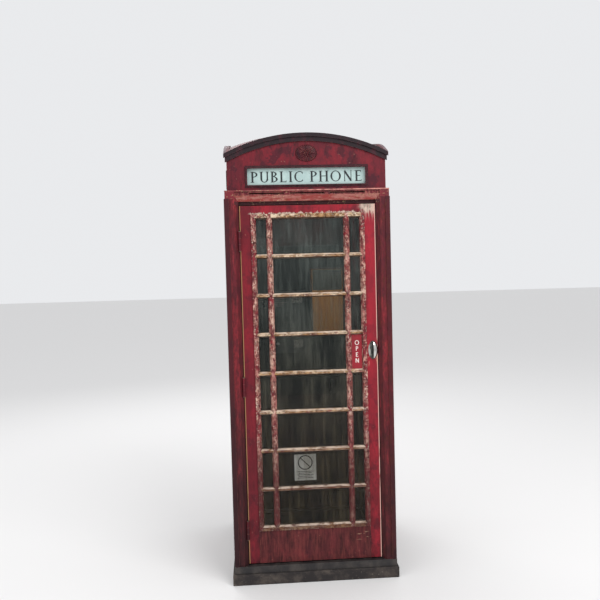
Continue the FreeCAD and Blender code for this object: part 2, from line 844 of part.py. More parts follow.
def handle_hood():
    """Half shell on the plate, open towards the hinges for the fingers."""
    inset = 1.0
    centre = (handle_middle(), -door_face - handle_plate, handle_height)
    across = handle_half_width - inset
    tall = handle_half_height - inset
    deep = hood_depth - handle_plate
    outer = egg(centre, across, deep, tall)
    inner = egg(centre, across - hood_wall, deep - hood_wall, tall - hood_wall)
    x = (handle_middle(), door_half)
    y = (-door_face - hood_depth, -door_face - handle_plate)
    quarter_space = block(x, y, (handle_height - handle_half_height, handle_height + handle_half_height))
    return common(cut(outer, inner), quarter_space)


def pull_plate():
    return pane(2, int(sign_row.value))


# ---------------------------------------------------------------- inside the cabin


def board_front():
    return door_face - side_plate - board_plate


def back_board():
    y = (board_front(), board_front() + board_plate)
    return block((-board_half, board_half), y, (board_low, post_top - board_head))


def notice_board():
    y = (board_front() - notice_plate, board_front())
    x = (phone_right() + notice_gap, board_half - notice_margin)
    return block(x, y, (notice_low, notice_low + notice_height))


def shelf():
    y = (board_front() - shelf_depth, board_front())
    return block((-shelf_width / 2, shelf_width / 2), y, (shelf_level, shelf_level + shelf_plate))


def shelf_brackets():
    """Two tapered cheeks under the shelf."""
    made = []
    for middle in (-bracket_inset, bracket_inset):
        cheek = doc.addObject("Part::Wedge", "bracket")
        for path, value in (
            ("Xmin", middle - bracket_plate / 2),
            ("Xmax", middle + bracket_plate / 2),
            ("X2min", middle - bracket_plate / 2),
            ("X2max", middle + bracket_plate / 2),
            ("Ymin", board_front() - shelf_depth * 0.8),
            ("Ymax", board_front()),
            ("Zmin", shelf_level - bracket_height * 0.15),
            ("Zmax", shelf_level),
            ("Z2min", shelf_level - bracket_height),
            ("Z2max", shelf_level),
        ):
            bind(cheek, path, value)
        made.append(cheek)
    return group(made)


def lamp_base():
    under = band_top - ceiling_plate
    return rod(lamp_radius, (0, 0, under - lamp_base_height), lamp_base_height, "z")


def lamp_globe():
    top = band_top - ceiling_plate - lamp_base_height
    zero = Size(0, "0")
    outer = egg((zero, zero, top), globe_radius, globe_radius, globe_drop)
    inside = globe_radius - globe_wall
    inner = egg((zero, zero, top), inside, inside, globe_drop - globe_wall)
    below = block((-globe_radius, globe_radius), (-globe_radius, globe_radius), (top - globe_drop, top))
    return common(cut(outer, inner), below)


# ---------------------------------------------------------------- telephone


def phone_right():
    return phone_left + phone_width


def case_front():
    return board_front() - case_depth


def cover_front():
    return case_front() - cover_depth


def phone_case():
    """Rear case, open to the front, with two lugs and a pin for the hook and a gland for the cord."""
    x = (phone_left, phone_right())
    y = (case_front(), board_front())
    z = (phone_low, phone_low + phone_height)
    outer = block(x, y, z)
    inner = block(
        (x[0] + case_wall, x[1] - case_wall), (y[0], y[1] - case_wall), (z[0] + case_wall, z[1] - case_wall)
    )
    pivot_x, pivot_z = hook_pivot()
    start = barrel_front()
    lug_height = barrel_radius
    lug_z = (pivot_z - lug_height, pivot_z + lug_height)
    lugs = [
        block((pivot_x - lug_height, phone_left), (low, low + lug_plate), lug_z)
        for low in (start - lug_gap - lug_plate, start + barrel_length + lug_gap)
    ]
    pin_start = start - lug_gap - lug_plate
    pin = rod(pivot_radius, (pivot_x, pin_start, pivot_z), barrel_length + lug_gap * 2 + lug_plate * 2, "y")
    gland_x = phone_left + gland_radius * 3
    gland_y = case_front() + case_depth / 2
    gland = rod(gland_radius, (gland_x, gland_y, phone_low - gland_length), gland_length, "z")
    bore = rod(gland_bore, (gland_x, gland_y, phone_low - gland_length), gland_length + case_wall, "z")
    return cut(fuse(cut(outer, inner), *lugs, pin, gland), bore)


def cup_x():
    right = phone_right() - cup_right
    return right - cup_width, right


def cup_z():
    low = phone_low + cup_rise
    return low, low + cup_height


def button_place():
    return phone_left + button_inset, phone_low + button_rise


def coin_plate_place():
    """Lower left corner of the coin slot plate."""
    return phone_right() - cup_right - slot_plate_width, phone_low + phone_height - slot_plate_height * 1.6


def coin_slot(depth_from, depth_to):
    x, z = coin_plate_place()
    middle_x = x + slot_plate_width / 2
    middle_z = z + slot_plate_height / 2
    return block(
        (middle_x - coin_width / 2, middle_x + coin_width / 2),
        (depth_from, depth_to),
        (middle_z - coin_gap / 2, middle_z + coin_gap / 2),
    )


def phone_cover():
    """Front cover, open to the back, cut for the refund cup, the button and the coin slot."""
    x = (phone_left, phone_right())
    y = (cover_front(), case_front())
    z = (phone_low, phone_low + phone_height)
    outer = block(x, y, z)
    inner = block(
        (x[0] + case_wall, x[1] - case_wall), (y[0] + case_wall, y[1]), (z[0] + case_wall, z[1] - case_wall)
    )
    button_x, button_z = button_place()
    hole = rod(button_radius + button_play, (button_x, y[0], button_z), case_wall, "y")
    wall = (y[0], y[0] + case_wall)
    return cut(outer, inner, block(cup_x(), wall, cup_z()), hole, coin_slot(*wall))


def coin_slot_plate():
    x, z = coin_plate_place()
    y = (cover_front() - slot_plate_depth, cover_front())
    plate = block((x, x + slot_plate_width), y, (z, z + slot_plate_height))
    return cut(plate, coin_slot(*y))


def dial_centre():
    return phone_left + phone_width / 2, phone_low + dial_rise


def wheel_back():
    return cover_front() - dial_plate_depth - wheel_gap


def dial_plate():
    """Number plate with the hub, its cap and the finger stop."""
    x, z = dial_centre()
    y = cover_front() - dial_plate_depth
    disc = rod(dial_radius, (x, y, z), dial_plate_depth, "y")
    hub_length = wheel_gap * 2 + wheel_plate
    hub = rod(hub_radius, (x, y - hub_length, z), hub_length, "y")
    cap = rod(hub_cap_radius, (x, y - hub_length - wheel_gap * 2, z), wheel_gap * 2, "y")
    side = stop_width / 2
    front = hub_length + wheel_gap * 2
    zero = Size(0, "0")
    riser = block((wheel_radius + wheel_gap, dial_radius), (-front, zero), (-side, side))
    inner = finger_hole_circle - finger_hole_radius
    arm = block((inner, dial_radius), (-front, -hub_length), (-side, side))
    four_o_clock = FreeCAD.Rotation(FreeCAD.Vector(0, 1, 0), 30)
    stop = seat(fuse(riser, arm), (x, y, z), four_o_clock)
    return fuse(disc, hub, cap, stop)


def finger_wheel():
    """Disc with ten finger holes, thirty degrees apart, and a blank quarter beside the finger stop."""
    x, z = dial_centre()
    body = doc.addObject("PartDesign::Body", "wheel")
    made = body.newObject("Sketcher::SketchObject", "disc_outline")
    made.AttachmentSupport = [(origin_plane(body, "XZ_Plane"), "")]
    made.MapMode = "FlatFace"
    circle(made, 0, 0, wheel_radius)
    circle(made, 0, 0, hub_radius + hub_play)
    pad(body, "disc", made, wheel_plate)
    hole = body.newObject("Sketcher::SketchObject", "hole_outline")
    hole.AttachmentSupport = [(origin_plane(body, "XZ_Plane"), "")]
    hole.MapMode = "FlatFace"
    first = 30
    lean = FreeCAD.Rotation(FreeCAD.Vector(0, 0, 1), first)
    spot = lean.multVec(FreeCAD.Vector(1, 0, 0))
    circle(hole, finger_hole_circle * spot.x, finger_hole_circle * spot.y, finger_hole_radius)
    cut_hole = pocket(body, "finger_hole", hole)
    pattern = body.newObject("PartDesign::PolarPattern", "finger_holes")
    pattern.Originals = [cut_hole]
    pattern.Axis = (hole, ["N_Axis"])
    pattern.Angle = 270
    pattern.setExpression("Occurrences", finger_holes.text)
    body.Tip = pattern
    doc.recompute()
    return seat(body, (x, wheel_back(), z))


def circle(made, across, up, radius):
    """A circle in a sketch, held by its centre and radius."""
    middle = FreeCAD.Vector(number(across), number(up), 0)
    which = made.addGeometry(Part.Circle(middle, FreeCAD.Vector(0, 0, 1), number(radius)))
    held = made.addConstraint(Sketcher.Constraint("Radius", which, number(radius)))
    made.setExpression(f"Constraints[{held}]", radius.text)
    for kind, value in (("DistanceX", across), ("DistanceY", up)):
        held = made.addConstraint(Sketcher.Constraint(kind, -1, 1, which, 3, number(value)))
        if isinstance(value, Size):
            made.setExpression(f"Constraints[{held}]", value.text)


def refund_cup():
    """Open box behind the cover, with holes for the flap's pin."""
    x, z = cup_x(), cup_z()
    y = (cover_front(), cover_front() + cup_depth)
    outer = block(x, y, z)
    inner = block(
        (x[0] + cup_wall, x[1] - cup_wall), (y[0], y[1] - cup_wall), (z[0] + cup_wall, z[1] - cup_wall)
    )
    pin_y, pin_z = flap_axis()
    bore = rod(flap_pin_radius + flap_pin_play, (x[0], pin_y, pin_z), cup_width, "x")
    return cut(outer, inner, bore)


def flap_axis():
    """The flap turns about a line just under the top of the cup's mouth."""
    return cover_front() + flap_plate, cup_z()[1] - cup_wall - flap_play - flap_pin_radius - flap_play


def refund_flap():
    pin_y, pin_z = flap_axis()
    x = (cup_x()[0] + cup_wall + flap_play, cup_x()[1] - cup_wall - flap_play)
    low = cup_z()[0] + cup_wall + flap_play
    plate = block(x, (pin_y - flap_plate / 2, pin_y + flap_plate / 2), (low, pin_z))
    roll = rod(flap_pin_radius + flap_play / 2, (x[0], pin_y, pin_z), x[1] - x[0], "x")
    pin = rod(flap_pin_radius, (cup_x()[0], pin_y, pin_z), cup_width, "x")
    return fuse(plate, roll, pin)


def coin_button():
    """Push button with a flange behind the cover that keeps it in."""
    x, z = button_place()
    front = cover_front() - button_proud
    flange_front = cover_front() + case_wall + button_play
    stem = rod(button_radius, (x, front, z), flange_front - front, "y")
    flange = rod(button_radius + case_wall, (x, flange_front, z), case_wall, "y")
    return fuse(stem, flange)


# ---------------------------------------------------------------- handset and hook


def handset_axis():
    return phone_left - handset_out, board_front() - handset_depth


def ear_level():
    return phone_low + handset_rise


def prong_level():
    reach = head_radius + prong_radius + rest_gap
    return ear_level() - root(reach * reach - prong_side * prong_side)


def hook_back():
    """Front of the hook's crossbar, behind the handset's screw caps."""
    return handset_axis()[1] + head_back + cap_depth + hook_gap


def barrel_front():
    return hook_back() - barrel_length / 2 + prong_radius


def hook_pivot():
    return phone_left - lug_out, prong_level()


def handset():
    """Grip with an earpiece head and a mouthpiece head."""
    x, y = handset_axis()
    low = ear_level() - handset_length
    grip = rod(grip_radius, (x, y, low), handset_length, "z")
    thick = head_front + head_back
    heads = [rod(head_radius, (x, y - head_front, z), thick, "y") for z in (low, ear_level())]
    return fuse(grip, *heads)


def handset_caps():
    x, y = handset_axis()
    low = ear_level() - handset_length
    lap = 1.5
    return group([rod(head_radius - lap, (x, y + head_back, z), cap_depth, "y") for z in (low, ear_level())])


def hook_lever():
    """Fork under the earpiece, carried on a barrel that turns on the case's pin."""
    x, y = handset_axis()
    level = prong_level()
    back = hook_back()
    front = y - head_front - prong_radius
    length = back - front + prong_radius
    prongs = [rod(prong_radius, (x + s, front, level), length, "y") for s in (-prong_side, prong_side)]
    pivot_x, pivot_z = hook_pivot()
    bar_z = (level - prong_radius, level + prong_radius)
    bar = block((x - prong_side, pivot_x), (back, back + prong_radius * 2), bar_z)
    barrel = rod(barrel_radius, (pivot_x, barrel_front(), pivot_z), barrel_length, "y")
    bore = rod(pivot_radius + pivot_play, (pivot_x, barrel_front(), pivot_z), barrel_length, "y")
    return cut(fuse(*prongs, bar, barrel), bore)


# ---------------------------------------------------------------- the whole booth

SIDES = ("front", "right", "back", "left")
CORNERS = ("front_left", "front_right", "back_right", "back_left")

node("base_slab", base_slab())
node("sill_frame", sill_frame())
for turns, corner in enumerate(CORNERS):
    node(f"corner_post_{corner}", corner_post(f"post_{corner}", turns))
for turns, side in enumerate(SIDES):
    node(f"lintel_{side}", quarter(lintel(), turns))
    node(f"pediment_{side}", quarter(pediment(), turns))
    node(f"sign_glass_{side}", quarter(group([sign_glass()]), turns))
node("sign_frames", group([quarter(sign_frame(), turns) for turns in range(4)]))
node("rosettes", group([quarter(rosette(), turns) for turns in range(4)]))
node("roof_dome", roof_dome())
node("ceiling_panel", ceiling_panel())
node("frame_bolts", frame_bolts())
for turns, side in ((1, "right"), (3, "left")):
    node(f"side_frame_{side}", quarter(side_frame(), turns))
    node(f"side_glazing_{side}", glazing_frame(f"glazing_{side}", turns))
    node(f"side_panes_{side}", panes(turns))
node("back_panel", quarter(back_panel(), 2))

node("door_hinge_stile", door_board((-door_half, -window_half), (door_low, door_top)))
node("door_lock_stile", door_board((window_half, door_half), (door_low, door_top)))
node("door_top_rail", door_board((-window_half, window_half), (window_top, door_top)))
node("door_bottom_rail", door_board((-window_half, window_half), (door_low, window_low)))
node("door_glazing", glazing_frame("glazing_door", 0))
node("door_panes", panes(0, left_out=[(2, int(sign_row.value))]))
node("pull_plate", pull_plate())
node("handle_plate", handle_back_plate())
node("handle_hood", handle_hood())
node("hinge_door_leaves", hinge_door_leaves())
node("hinge_post_leaves", hinge_post_leaves())
node("hinge_pins", hinge_pins())

node("backboard", back_board())
node("notice_board", notice_board())
node("shelf", shelf())
node("shelf_brackets", shelf_brackets())
node("lamp_base", lamp_base())
node("lamp_globe", lamp_globe())
node("phone_case", phone_case())
node("phone_cover", phone_cover())
node("dial_plate", dial_plate())
node("finger_wheel", finger_wheel())
node("coin_slot_plate", coin_slot_plate())
node("refund_cup", refund_cup())
node("refund_flap", refund_flap())
node("coin_button", coin_button())
node("handset", handset())
node("handset_caps", handset_caps())
node("hook_lever", hook_lever())

doc.recompute()

for thing in doc.Objects:
    if any(word in thing.State for word in ("Invalid", "Error")):
        raise RuntimeError(f"{thing.Name} ({thing.Label}) failed: {thing.State}")
for made in nodes:
    if made.Shape.isNull() or not made.Shape.isValid() or not made.Shape.Solids:
        raise RuntimeError(f"{made.Label} has no valid solid")

os.makedirs("parts", exist_ok=True)
for made in nodes:
    made.Shape.exportStep(f"parts/{made.Label}.step")
print(f"{len(nodes)} nodes, {sum(len(made.Shape.Solids) for made in nodes)} solids")
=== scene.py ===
"""Finishes and fine detail of a weathered cast-iron telephone booth.

Everything is in metres in the model's frame: +Z up, the door faces -Y.
Pieces that repeat on the four sides are drawn on the front and turned about Z by quarter turns.
"""

import math
import random

import bmesh
import bpy
from mathutils import Matrix, Vector
from mathutils.geometry import delaunay_2d_cdt


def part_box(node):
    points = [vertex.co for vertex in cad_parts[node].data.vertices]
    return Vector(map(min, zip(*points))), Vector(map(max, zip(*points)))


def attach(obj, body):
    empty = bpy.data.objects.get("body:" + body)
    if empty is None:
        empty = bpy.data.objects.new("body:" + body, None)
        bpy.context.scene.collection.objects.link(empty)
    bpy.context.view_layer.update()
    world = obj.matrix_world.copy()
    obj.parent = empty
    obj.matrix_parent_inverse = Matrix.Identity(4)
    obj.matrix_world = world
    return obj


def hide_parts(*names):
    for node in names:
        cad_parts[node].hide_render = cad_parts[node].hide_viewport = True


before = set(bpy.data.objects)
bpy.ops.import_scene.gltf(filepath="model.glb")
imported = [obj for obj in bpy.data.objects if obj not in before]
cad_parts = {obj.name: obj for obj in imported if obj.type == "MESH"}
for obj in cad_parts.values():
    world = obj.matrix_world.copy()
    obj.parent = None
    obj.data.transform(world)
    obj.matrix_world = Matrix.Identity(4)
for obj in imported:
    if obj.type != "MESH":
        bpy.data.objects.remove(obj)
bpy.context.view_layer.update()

MM = 0.001
FRONT, RIGHT, BACK, LEFT = range(4)
SIDES = ("front", "right", "back", "left")
CORNERS = ("front_left", "front_right", "back_right", "back_left")

# The glazing: three panes to a row, measured from the middle of a side and from the ground.
WINDOW_HALF = 309 * MM
CLEAR_HALF = 282 * MM
BAR_OUTER = 226 * MM
CENTRE_HALF = 194 * MM
COLUMNS = ((-CLEAR_HALF, -BAR_OUTER), (-CENTRE_HALF, CENTRE_HALF), (BAR_OUTER, CLEAR_HALF))
WINDOW_LOW = 286 * MM
WINDOW_TOP = 2024 * MM
CLEAR_LOW = 313 * MM
PANE_TALL = 189.5 * MM
ROW_PITCH = 213.5 * MM
ROWS = 8
GLAZING_FACE = -431 * MM
GLAZING_BACK = -403 * MM
PUTTY_FACE = -420.5 * MM
PUTTY_WIDE = 6.5 * MM

# The card inside the door's glass: low x, high x, low z, high z.
CARD = (-107 * MM, 14 * MM, 555 * MM, 701 * MM)

# Where one colour gives way to the next, as a start and an end in metres: from the middle of
# the booth across it, from the ground up.
SPLAY_EDGE = (0.388, 0.3945)
BETWEEN_POSTS = (0.3935, 0.3945)
BEAD_EDGE = (0.4215, 0.4235)
ARCH_FACE = (0.429, 0.4305)
MOUTH_TOP = (2.0925, 2.0935)
BAND_FOOT = (2.1228, 2.1238)
FILLET_FOOT = (2.1455, 2.1465)
HINGE_EDGE = (-0.3655, -0.3635)
HINGE_STILE = (-0.31, -0.305)
LOCK_STILE = (0.305, 0.31)
LOCK_EDGE = (0.3635, 0.3655)
DOOR_FACE = (-0.4225, -0.4205)
HANDLE_HEIGHT = 1.269
SIGN_HEIGHT = 2.225


# ---- finishes


def shade(red, green, blue):
    """A colour from a paint card's 0 to 255 numbers, made linear."""
    linear = (((c / 255 + 0.055) / 1.055) ** 2.4 if c > 10 else c / 255 / 12.92 for c in (red, green, blue))
    return (*linear, 1.0)


class Value:
    """One output of a finish's nodes. Sums and products add Math nodes."""

    def __init__(self, finish, socket):
        self.finish = finish
        self.socket = socket

    def maths(self, operation, first, second):
        return self.finish.node("ShaderNodeMath", {"operation": operation}, {0: first, 1: second})

    def __add__(self, other):
        return self.maths("ADD", self, other)

    def __radd__(self, other):
        return self.maths("ADD", other, self)

    def __sub__(self, other):
        return self.maths("SUBTRACT", self, other)

    def __rsub__(self, other):
        return self.maths("SUBTRACT", other, self)

    def __mul__(self, other):
        return self.maths("MULTIPLY", self, other)

    def __rmul__(self, other):
        return self.maths("MULTIPLY", other, self)

    def __abs__(self):
        return self.maths("ABSOLUTE", self, 0.0)


class Finish:
    """One material, with its textures placed in the booth's own frame."""

    def __init__(self, name, **constants):
        self.material = bpy.data.materials.new(name)
        self.material.use_nodes = True
        self.tree = self.material.node_tree
        self.surface = self.tree.nodes["Principled BSDF"]
        self.colour = None
        for socket, value in constants.items():
            self.surface.inputs[socket.replace("_", " ")].default_value = value
        self.place = self.node("ShaderNodeTexCoord", out="Object")

    def node(self, kind, settings=None, sockets=None, out=0):
        made = self.tree.nodes.new(kind)
        for key, value in (settings or {}).items():
            setattr(made, key, value)
        for key, value in (sockets or {}).items():
            self.feed(made.inputs[key], value)
        return Value(self, made.outputs[out])

    def feed(self, socket, value):
        if isinstance(value, Value):
            self.tree.links.new(value.socket, socket)
        else:
            socket.default_value = value

    def along(self, axis):
        return self.node("ShaderNodeSeparateXYZ", {}, {0: self.place}, out=axis)

    def facing(self, axis):
        """How far the surface faces along an axis, turning with the piece that it is on."""
        normal = self.node("ShaderNodeTexCoord", out="Normal")
        return self.node("ShaderNodeSeparateXYZ", {}, {0: normal}, out=axis)

    def cloud(self, scale, detail=5.0, seed=0.0, stretch=(1, 1, 1), rough=0.6):
        """Soft random patches, stretched along an axis where its number is small."""
        shift = (seed, seed * 1.7, seed * 0.6)
        where = self.node("ShaderNodeMapping", {}, {"Vector": self.place, "Scale": stretch, "Location": shift})
        sockets = {"Vector": where, "Scale": scale, "Detail": detail, "Roughness": rough}
        return self.node("ShaderNodeTexNoise", {}, sockets)

    def step(self, value, low, high, bottom=0.0, top=1.0):
        """Rises smoothly from bottom to top while value goes from low to high."""
        sockets = {"Value": value, "From Min": low, "From Max": high, "To Min": bottom, "To Max": top}
        return self.node("ShaderNodeMapRange", {"interpolation_type": "SMOOTHSTEP"}, sockets)

    def below(self, value, low, high):
        """Falls smoothly from 1 to 0 while value goes from low to high."""
        return self.step(value, low, high, 1.0, 0.0)

    def patches(self, low, high, scale, *more, **named):
        """Random patches of 1 on 0. The nearer low is to high, the firmer are their edges."""
        return self.step(self.cloud(scale, *more, **named), low, high)

    def within(self, value, low, high, blur):
        """1 from low to high, falling to 0 over the blur outside them."""
        half = (high - low) / 2
        return self.below(abs(value - (low + high) / 2), half, half + blur)

    def from_middle(self, operation):
        """The MAXIMUM or the MINIMUM of how far it is from the middle in X and in Y."""
        sockets = {0: abs(self.along("X")), 1: abs(self.along("Y"))}
        return self.node("ShaderNodeMath", {"operation": operation}, sockets)

    def edges(self, radius):
        """1 on sharp edges and 0 on flats."""
        soft = self.node("ShaderNodeBevel", {"samples": 4}, {"Radius": radius})
        hard = self.node("ShaderNodeNewGeometry", out="Normal")
        agree = self.node("ShaderNodeVectorMath", {"operation": "DOT_PRODUCT"}, {0: soft, 1: hard}, out="Value")
        return self.below(agree, 0.75, 0.985)

    def layer(self, under, over, mask):
        """Colour over laid on colour under where mask is 1."""
        under, over = (shade(*c) if isinstance(c, tuple) else c for c in (under, over))
        sockets = {0: mask, 6: under, 7: over}
        return self.node("ShaderNodeMix", {"data_type": "RGBA", "blend_type": "MIX"}, sockets, out=2)

    def coat(self, over, mask):
        """Lays one more colour over the finish where mask is 1."""
        self.colour = self.layer(self.colour, over, mask)

    def finish(self, roughness, relief=None, depth=0.001, strength=0.5, **others):
        """The material, with its colour, roughness and relief joined to the surface."""
        self.feed(self.surface.inputs["Base Color"], self.colour)
        self.feed(self.surface.inputs["Roughness"], roughness)
        if relief is not None:
            bump = self.node("ShaderNodeBump", {}, {"Height": relief, "Distance": depth, "Strength": strength})
            self.feed(self.surface.inputs["Normal"], bump)
        for socket, value in others.items():
            self.feed(self.surface.inputs[socket], value)
        return self.material


UNDERCOAT = (206, 158, 132)
OLD_CREAM = (214, 186, 140)
# Dark grime, also laid on as painted shade low down on the paint and on the posts.
GRIME_AND_SHADE = (30, 18, 20)
STAIN = (66, 22, 34)


def red_paint(
    name, fresh, faded, grime, chips, edge_wear, gloss=0.42, seed=0.0, streak=0.2, extra=None, stains=0.5
):
    """Old red gloss: faded streaks, stains with firm edges, grime, darkening towards the ground that is partly
    splashed dirt and partly painted shade, chips down to undercoat and worn edges.

    extra(finish) may lay more coats over the paint before the chips.
    """
    f = Finish(name, Specular_IOR_Level=0.22)
    tall = (1.0, 1.0, streak)
    fade = f.patches(0.4, 0.62, 9, 7, seed, tall, 0.65)
    f.colour = f.layer(fresh, faded, fade)
    stain = f.patches(0.54, 0.58, 13, 7, seed + 3.1, (1, 1, 0.8), 0.6)
    f.coat(STAIN, stain * stains)
    grain = f.cloud(90, 5, seed + 4.4, (1, 1, 0.35), 0.7)
    f.coat(faded, f.step(grain, 0.48, 0.6) * 0.7)
    dirt = f.patches(0.48, 0.72, 24, 8, seed + 7.7, (1, 1, 0.3), 0.7)
    # Darker towards the ground: partly splashed dirt, partly painted shade.
    low_dirt_and_shade = f.step(f.along("Z"), 0.1, 1.2, 0.75, 0.0)
    soot_and_painted_light = dirt * grime + low_dirt_and_shade * f.patches(0.2, 0.75, 16, 7, seed + 1, (1, 1, 0.6), 0.65)
    f.coat(GRIME_AND_SHADE, soot_and_painted_light)
    dust = f.step(f.facing("Z"), 0.55, 0.95) * f.patches(0.3, 0.65, 22, 6)
    f.coat((140, 104, 100), dust * 0.4)
    if extra:
        extra(f)
    flake = f.patches(0.66, 0.69, 110, 5, seed + 5, (1, 1, 0.7), 0.7)
    flake = flake * f.patches(0.46, 0.6, 6, 3, seed + 9) * chips
    rub = f.edges(0.0022) * f.patches(0.42, 0.56, 40, 6, seed + 2, (1, 1, 0.5), 0.7) * edge_wear
    f.coat(UNDERCOAT, flake)
    f.coat((186, 122, 108), rub)
    skin = f.cloud(420, 3) * 0.25 + grain * 0.5
    return f.finish(gloss + soot_and_painted_light * 0.3 + fade * 0.1 + flake * 0.3, skin - flake * 0.5 - rub * 0.2, 0.0012, 0.5)


def post_marks_and_shade(f):
    """The outer bead and the splay of a post are painted darker as painted shade, the bead more on the left where
    less light falls; the right-hand posts are rustier, and the feet are darker, partly with grime and partly as
    painted shade.
    """
    reach = f.from_middle("MINIMUM")
    # Painted shade: the bead is darker, more on the left, away from the light.
    bead = f.step(reach, *BEAD_EDGE)
    f.coat((52, 20, 28), bead * f.step(f.along("X"), -0.3, 0.3, 0.74, 0.5))
    # Painted shade in the splay beside the door.
    splay = f.below(reach, *SPLAY_EDGE)
    f.coat((46, 18, 24), splay * 0.5)
    rust = f.patches(0.5, 0.6, 46, 7, 17, (1, 1, 0.45), 0.75) * f.step(f.along("X"), 0.3, 0.4)
    f.coat((84, 38, 24), rust * 0.6)
    streak = f.patches(0.52, 0.64, 70, 6, 19, (1, 1, 0.12), 0.7)
    f.coat((156, 52, 58), streak * (1.0 - bead) * 0.5)
    # Darker towards the ground and on the left: partly grime, partly painted shade.
    foot = f.below(f.along("Z"), 0.1, 1.5) * f.step(f.along("X"), -0.3, 0.3, 0.66, 0.4)
    fine = f.patches(0.5, 0.55, 95, 3, 23, (1, 1, 0.4), 0.6)
    f.coat((74, 24, 28), fine * 0.5)
    f.coat(GRIME_AND_SHADE, foot)


def door_marks_and_light(f):
    """Bare grey timber at the top right corner with runs below it, pale edges, and chips by the handle; the hinge
    stile is darker as painted shade and the lock stile lighter as painted light, where the light falls.
    """
    x, z = f.along("X"), f.along("Z")
    ragged = f.cloud(60, 6, 40, (1, 1, 0.5), 0.7)
    # Painted shade on the hinge stile, and painted light on the lock stile growing upwards.
    f.coat((70, 20, 30), f.step(x, *HINGE_STILE, 0.34, 0.0))
    f.coat((190, 44, 60), f.step(x, *LOCK_STILE) * f.step(z, 0.7, 1.3, 0.0, 0.24))
    corner = f.step(x, 0.262, 0.31) * f.step(z + ragged * 0.09, 2.062, 2.084)
    runs = f.patches(0.5, 0.56, 120, 4, 41, (1, 1, 0.06)) * f.step(x, 0.29, 0.33) * f.step(z, 1.96, 2.06)
    bare = f.layer((128, 118, 108), (196, 176, 160), f.step(ragged, 0.4, 0.6))
    f.coat(bare, corner * f.step(ragged, 0.36, 0.44))
    f.coat((206, 172, 156), runs * 0.8)
    above = f.step(z, WINDOW_TOP - 1 * MM, WINDOW_TOP) * f.below(z - ragged * 0.05, 2.002, 2.008)
    f.coat(bare, above * f.below(abs(x), 0.3, 0.33))
    lift = f.patches(0.3, 0.5, 30, 5, 43, (1, 1, 0.2))
    flat = f.step(abs(f.facing("Y")), 0.3, 0.6) + f.below(f.along("Y"), *DOOR_FACE)
    right = f.step(x, *LOCK_EDGE) * lift * flat
    left = f.below(x, *HINGE_EDGE) * lift * flat
    f.coat((214, 168, 156), right * 0.85)
    f.coat((160, 122, 84), left * 0.6)
    near = f.below(abs(z - HANDLE_HEIGHT), 0.05, 0.1) * f.step(x, 0.3, 0.325)
    f.coat(UNDERCOAT, near * f.step(ragged, 0.55, 0.6) * 0.9)
    seam = f.below(abs(abs(x) - WINDOW_HALF), 0.0004, 0.002) * f.below(z, WINDOW_LOW - 2 * MM, WINDOW_LOW)
    f.coat(GRIME_AND_SHADE, seam)


def rail_marks(f):
    """Faint upright brush runs, and a few bare flecks near the right-hand joint."""
    x, z = f.along("X"), f.along("Z")
    runs = f.patches(0.4, 0.7, 90, 5, 50, (1, 1, 0.12))
    f.coat((130, 64, 58), runs * 0.35)
    spot = f.below(abs(x - 0.25), 0.02, 0.06) * f.below(abs(z - 0.235), 0.01, 0.03)
    f.coat((196, 160, 132), spot * f.patches(0.58, 0.66, 150, 4, 51, (0.2, 1, 1)) * 0.8)


def inner_wall_shade(f):
    """The back panel's inner face is painted a dull dark grey-green as painted shade inside the booth."""
    inner = f.below(f.facing("Y"), -0.6, -0.3)
    haze = f.step(f.cloud(7, 6, 61, (1, 1, 0.6)), 0.3, 0.7, 0.6, 0.85)
    f.coat((44, 48, 46), inner * haze)


def dark_moulding():
    """The roof casting: arches nearly black and sooty with a painted highlight on their upward faces, dome a dull
    red with pale dust.
    """
    f = Finish("roof_paint", Specular_IOR_Level=0.3)
    arch = f.step(f.from_middle("MAXIMUM"), *ARCH_FACE)
    streaks = f.cloud(9, 7, 4, (1, 1, 0.4), 0.65)
    dome = f.layer((104, 30, 38), (62, 26, 32), f.step(streaks, 0.4, 0.65))
    lichen = f.patches(0.6, 0.66, 60, 6, 2, rough=0.7) * f.patches(0.45, 0.6, 7, 3)
    dome = f.layer(dome, (150, 142, 118), lichen * 0.7)
    soot_and_painted_light = f.layer((30, 16, 22), (62, 22, 32), f.patches(0.5, 0.72, 26, 6, 8))
    # Painted highlight on the arches' upward faces, where the sky light falls.
    top = f.step(f.facing("Z"), 0.6, 0.97)
    pale = f.patches(0.35, 0.6, 30, 6, 6)
    soot_and_painted_light = f.layer(soot_and_painted_light, (138, 114, 120), top * (0.3 + pale * 0.5))
    f.colour = f.layer(dome, soot_and_painted_light, arch)
    rub = f.edges(0.003) * f.patches(0.42, 0.6, 24, 6) * arch
    f.coat((132, 92, 98), rub * 0.55)
    relief = f.cloud(120, 5) + lichen * 0.4
    return f.finish(0.45 + streaks * 0.2 + lichen * 0.3, relief, 0.0015, 0.4)


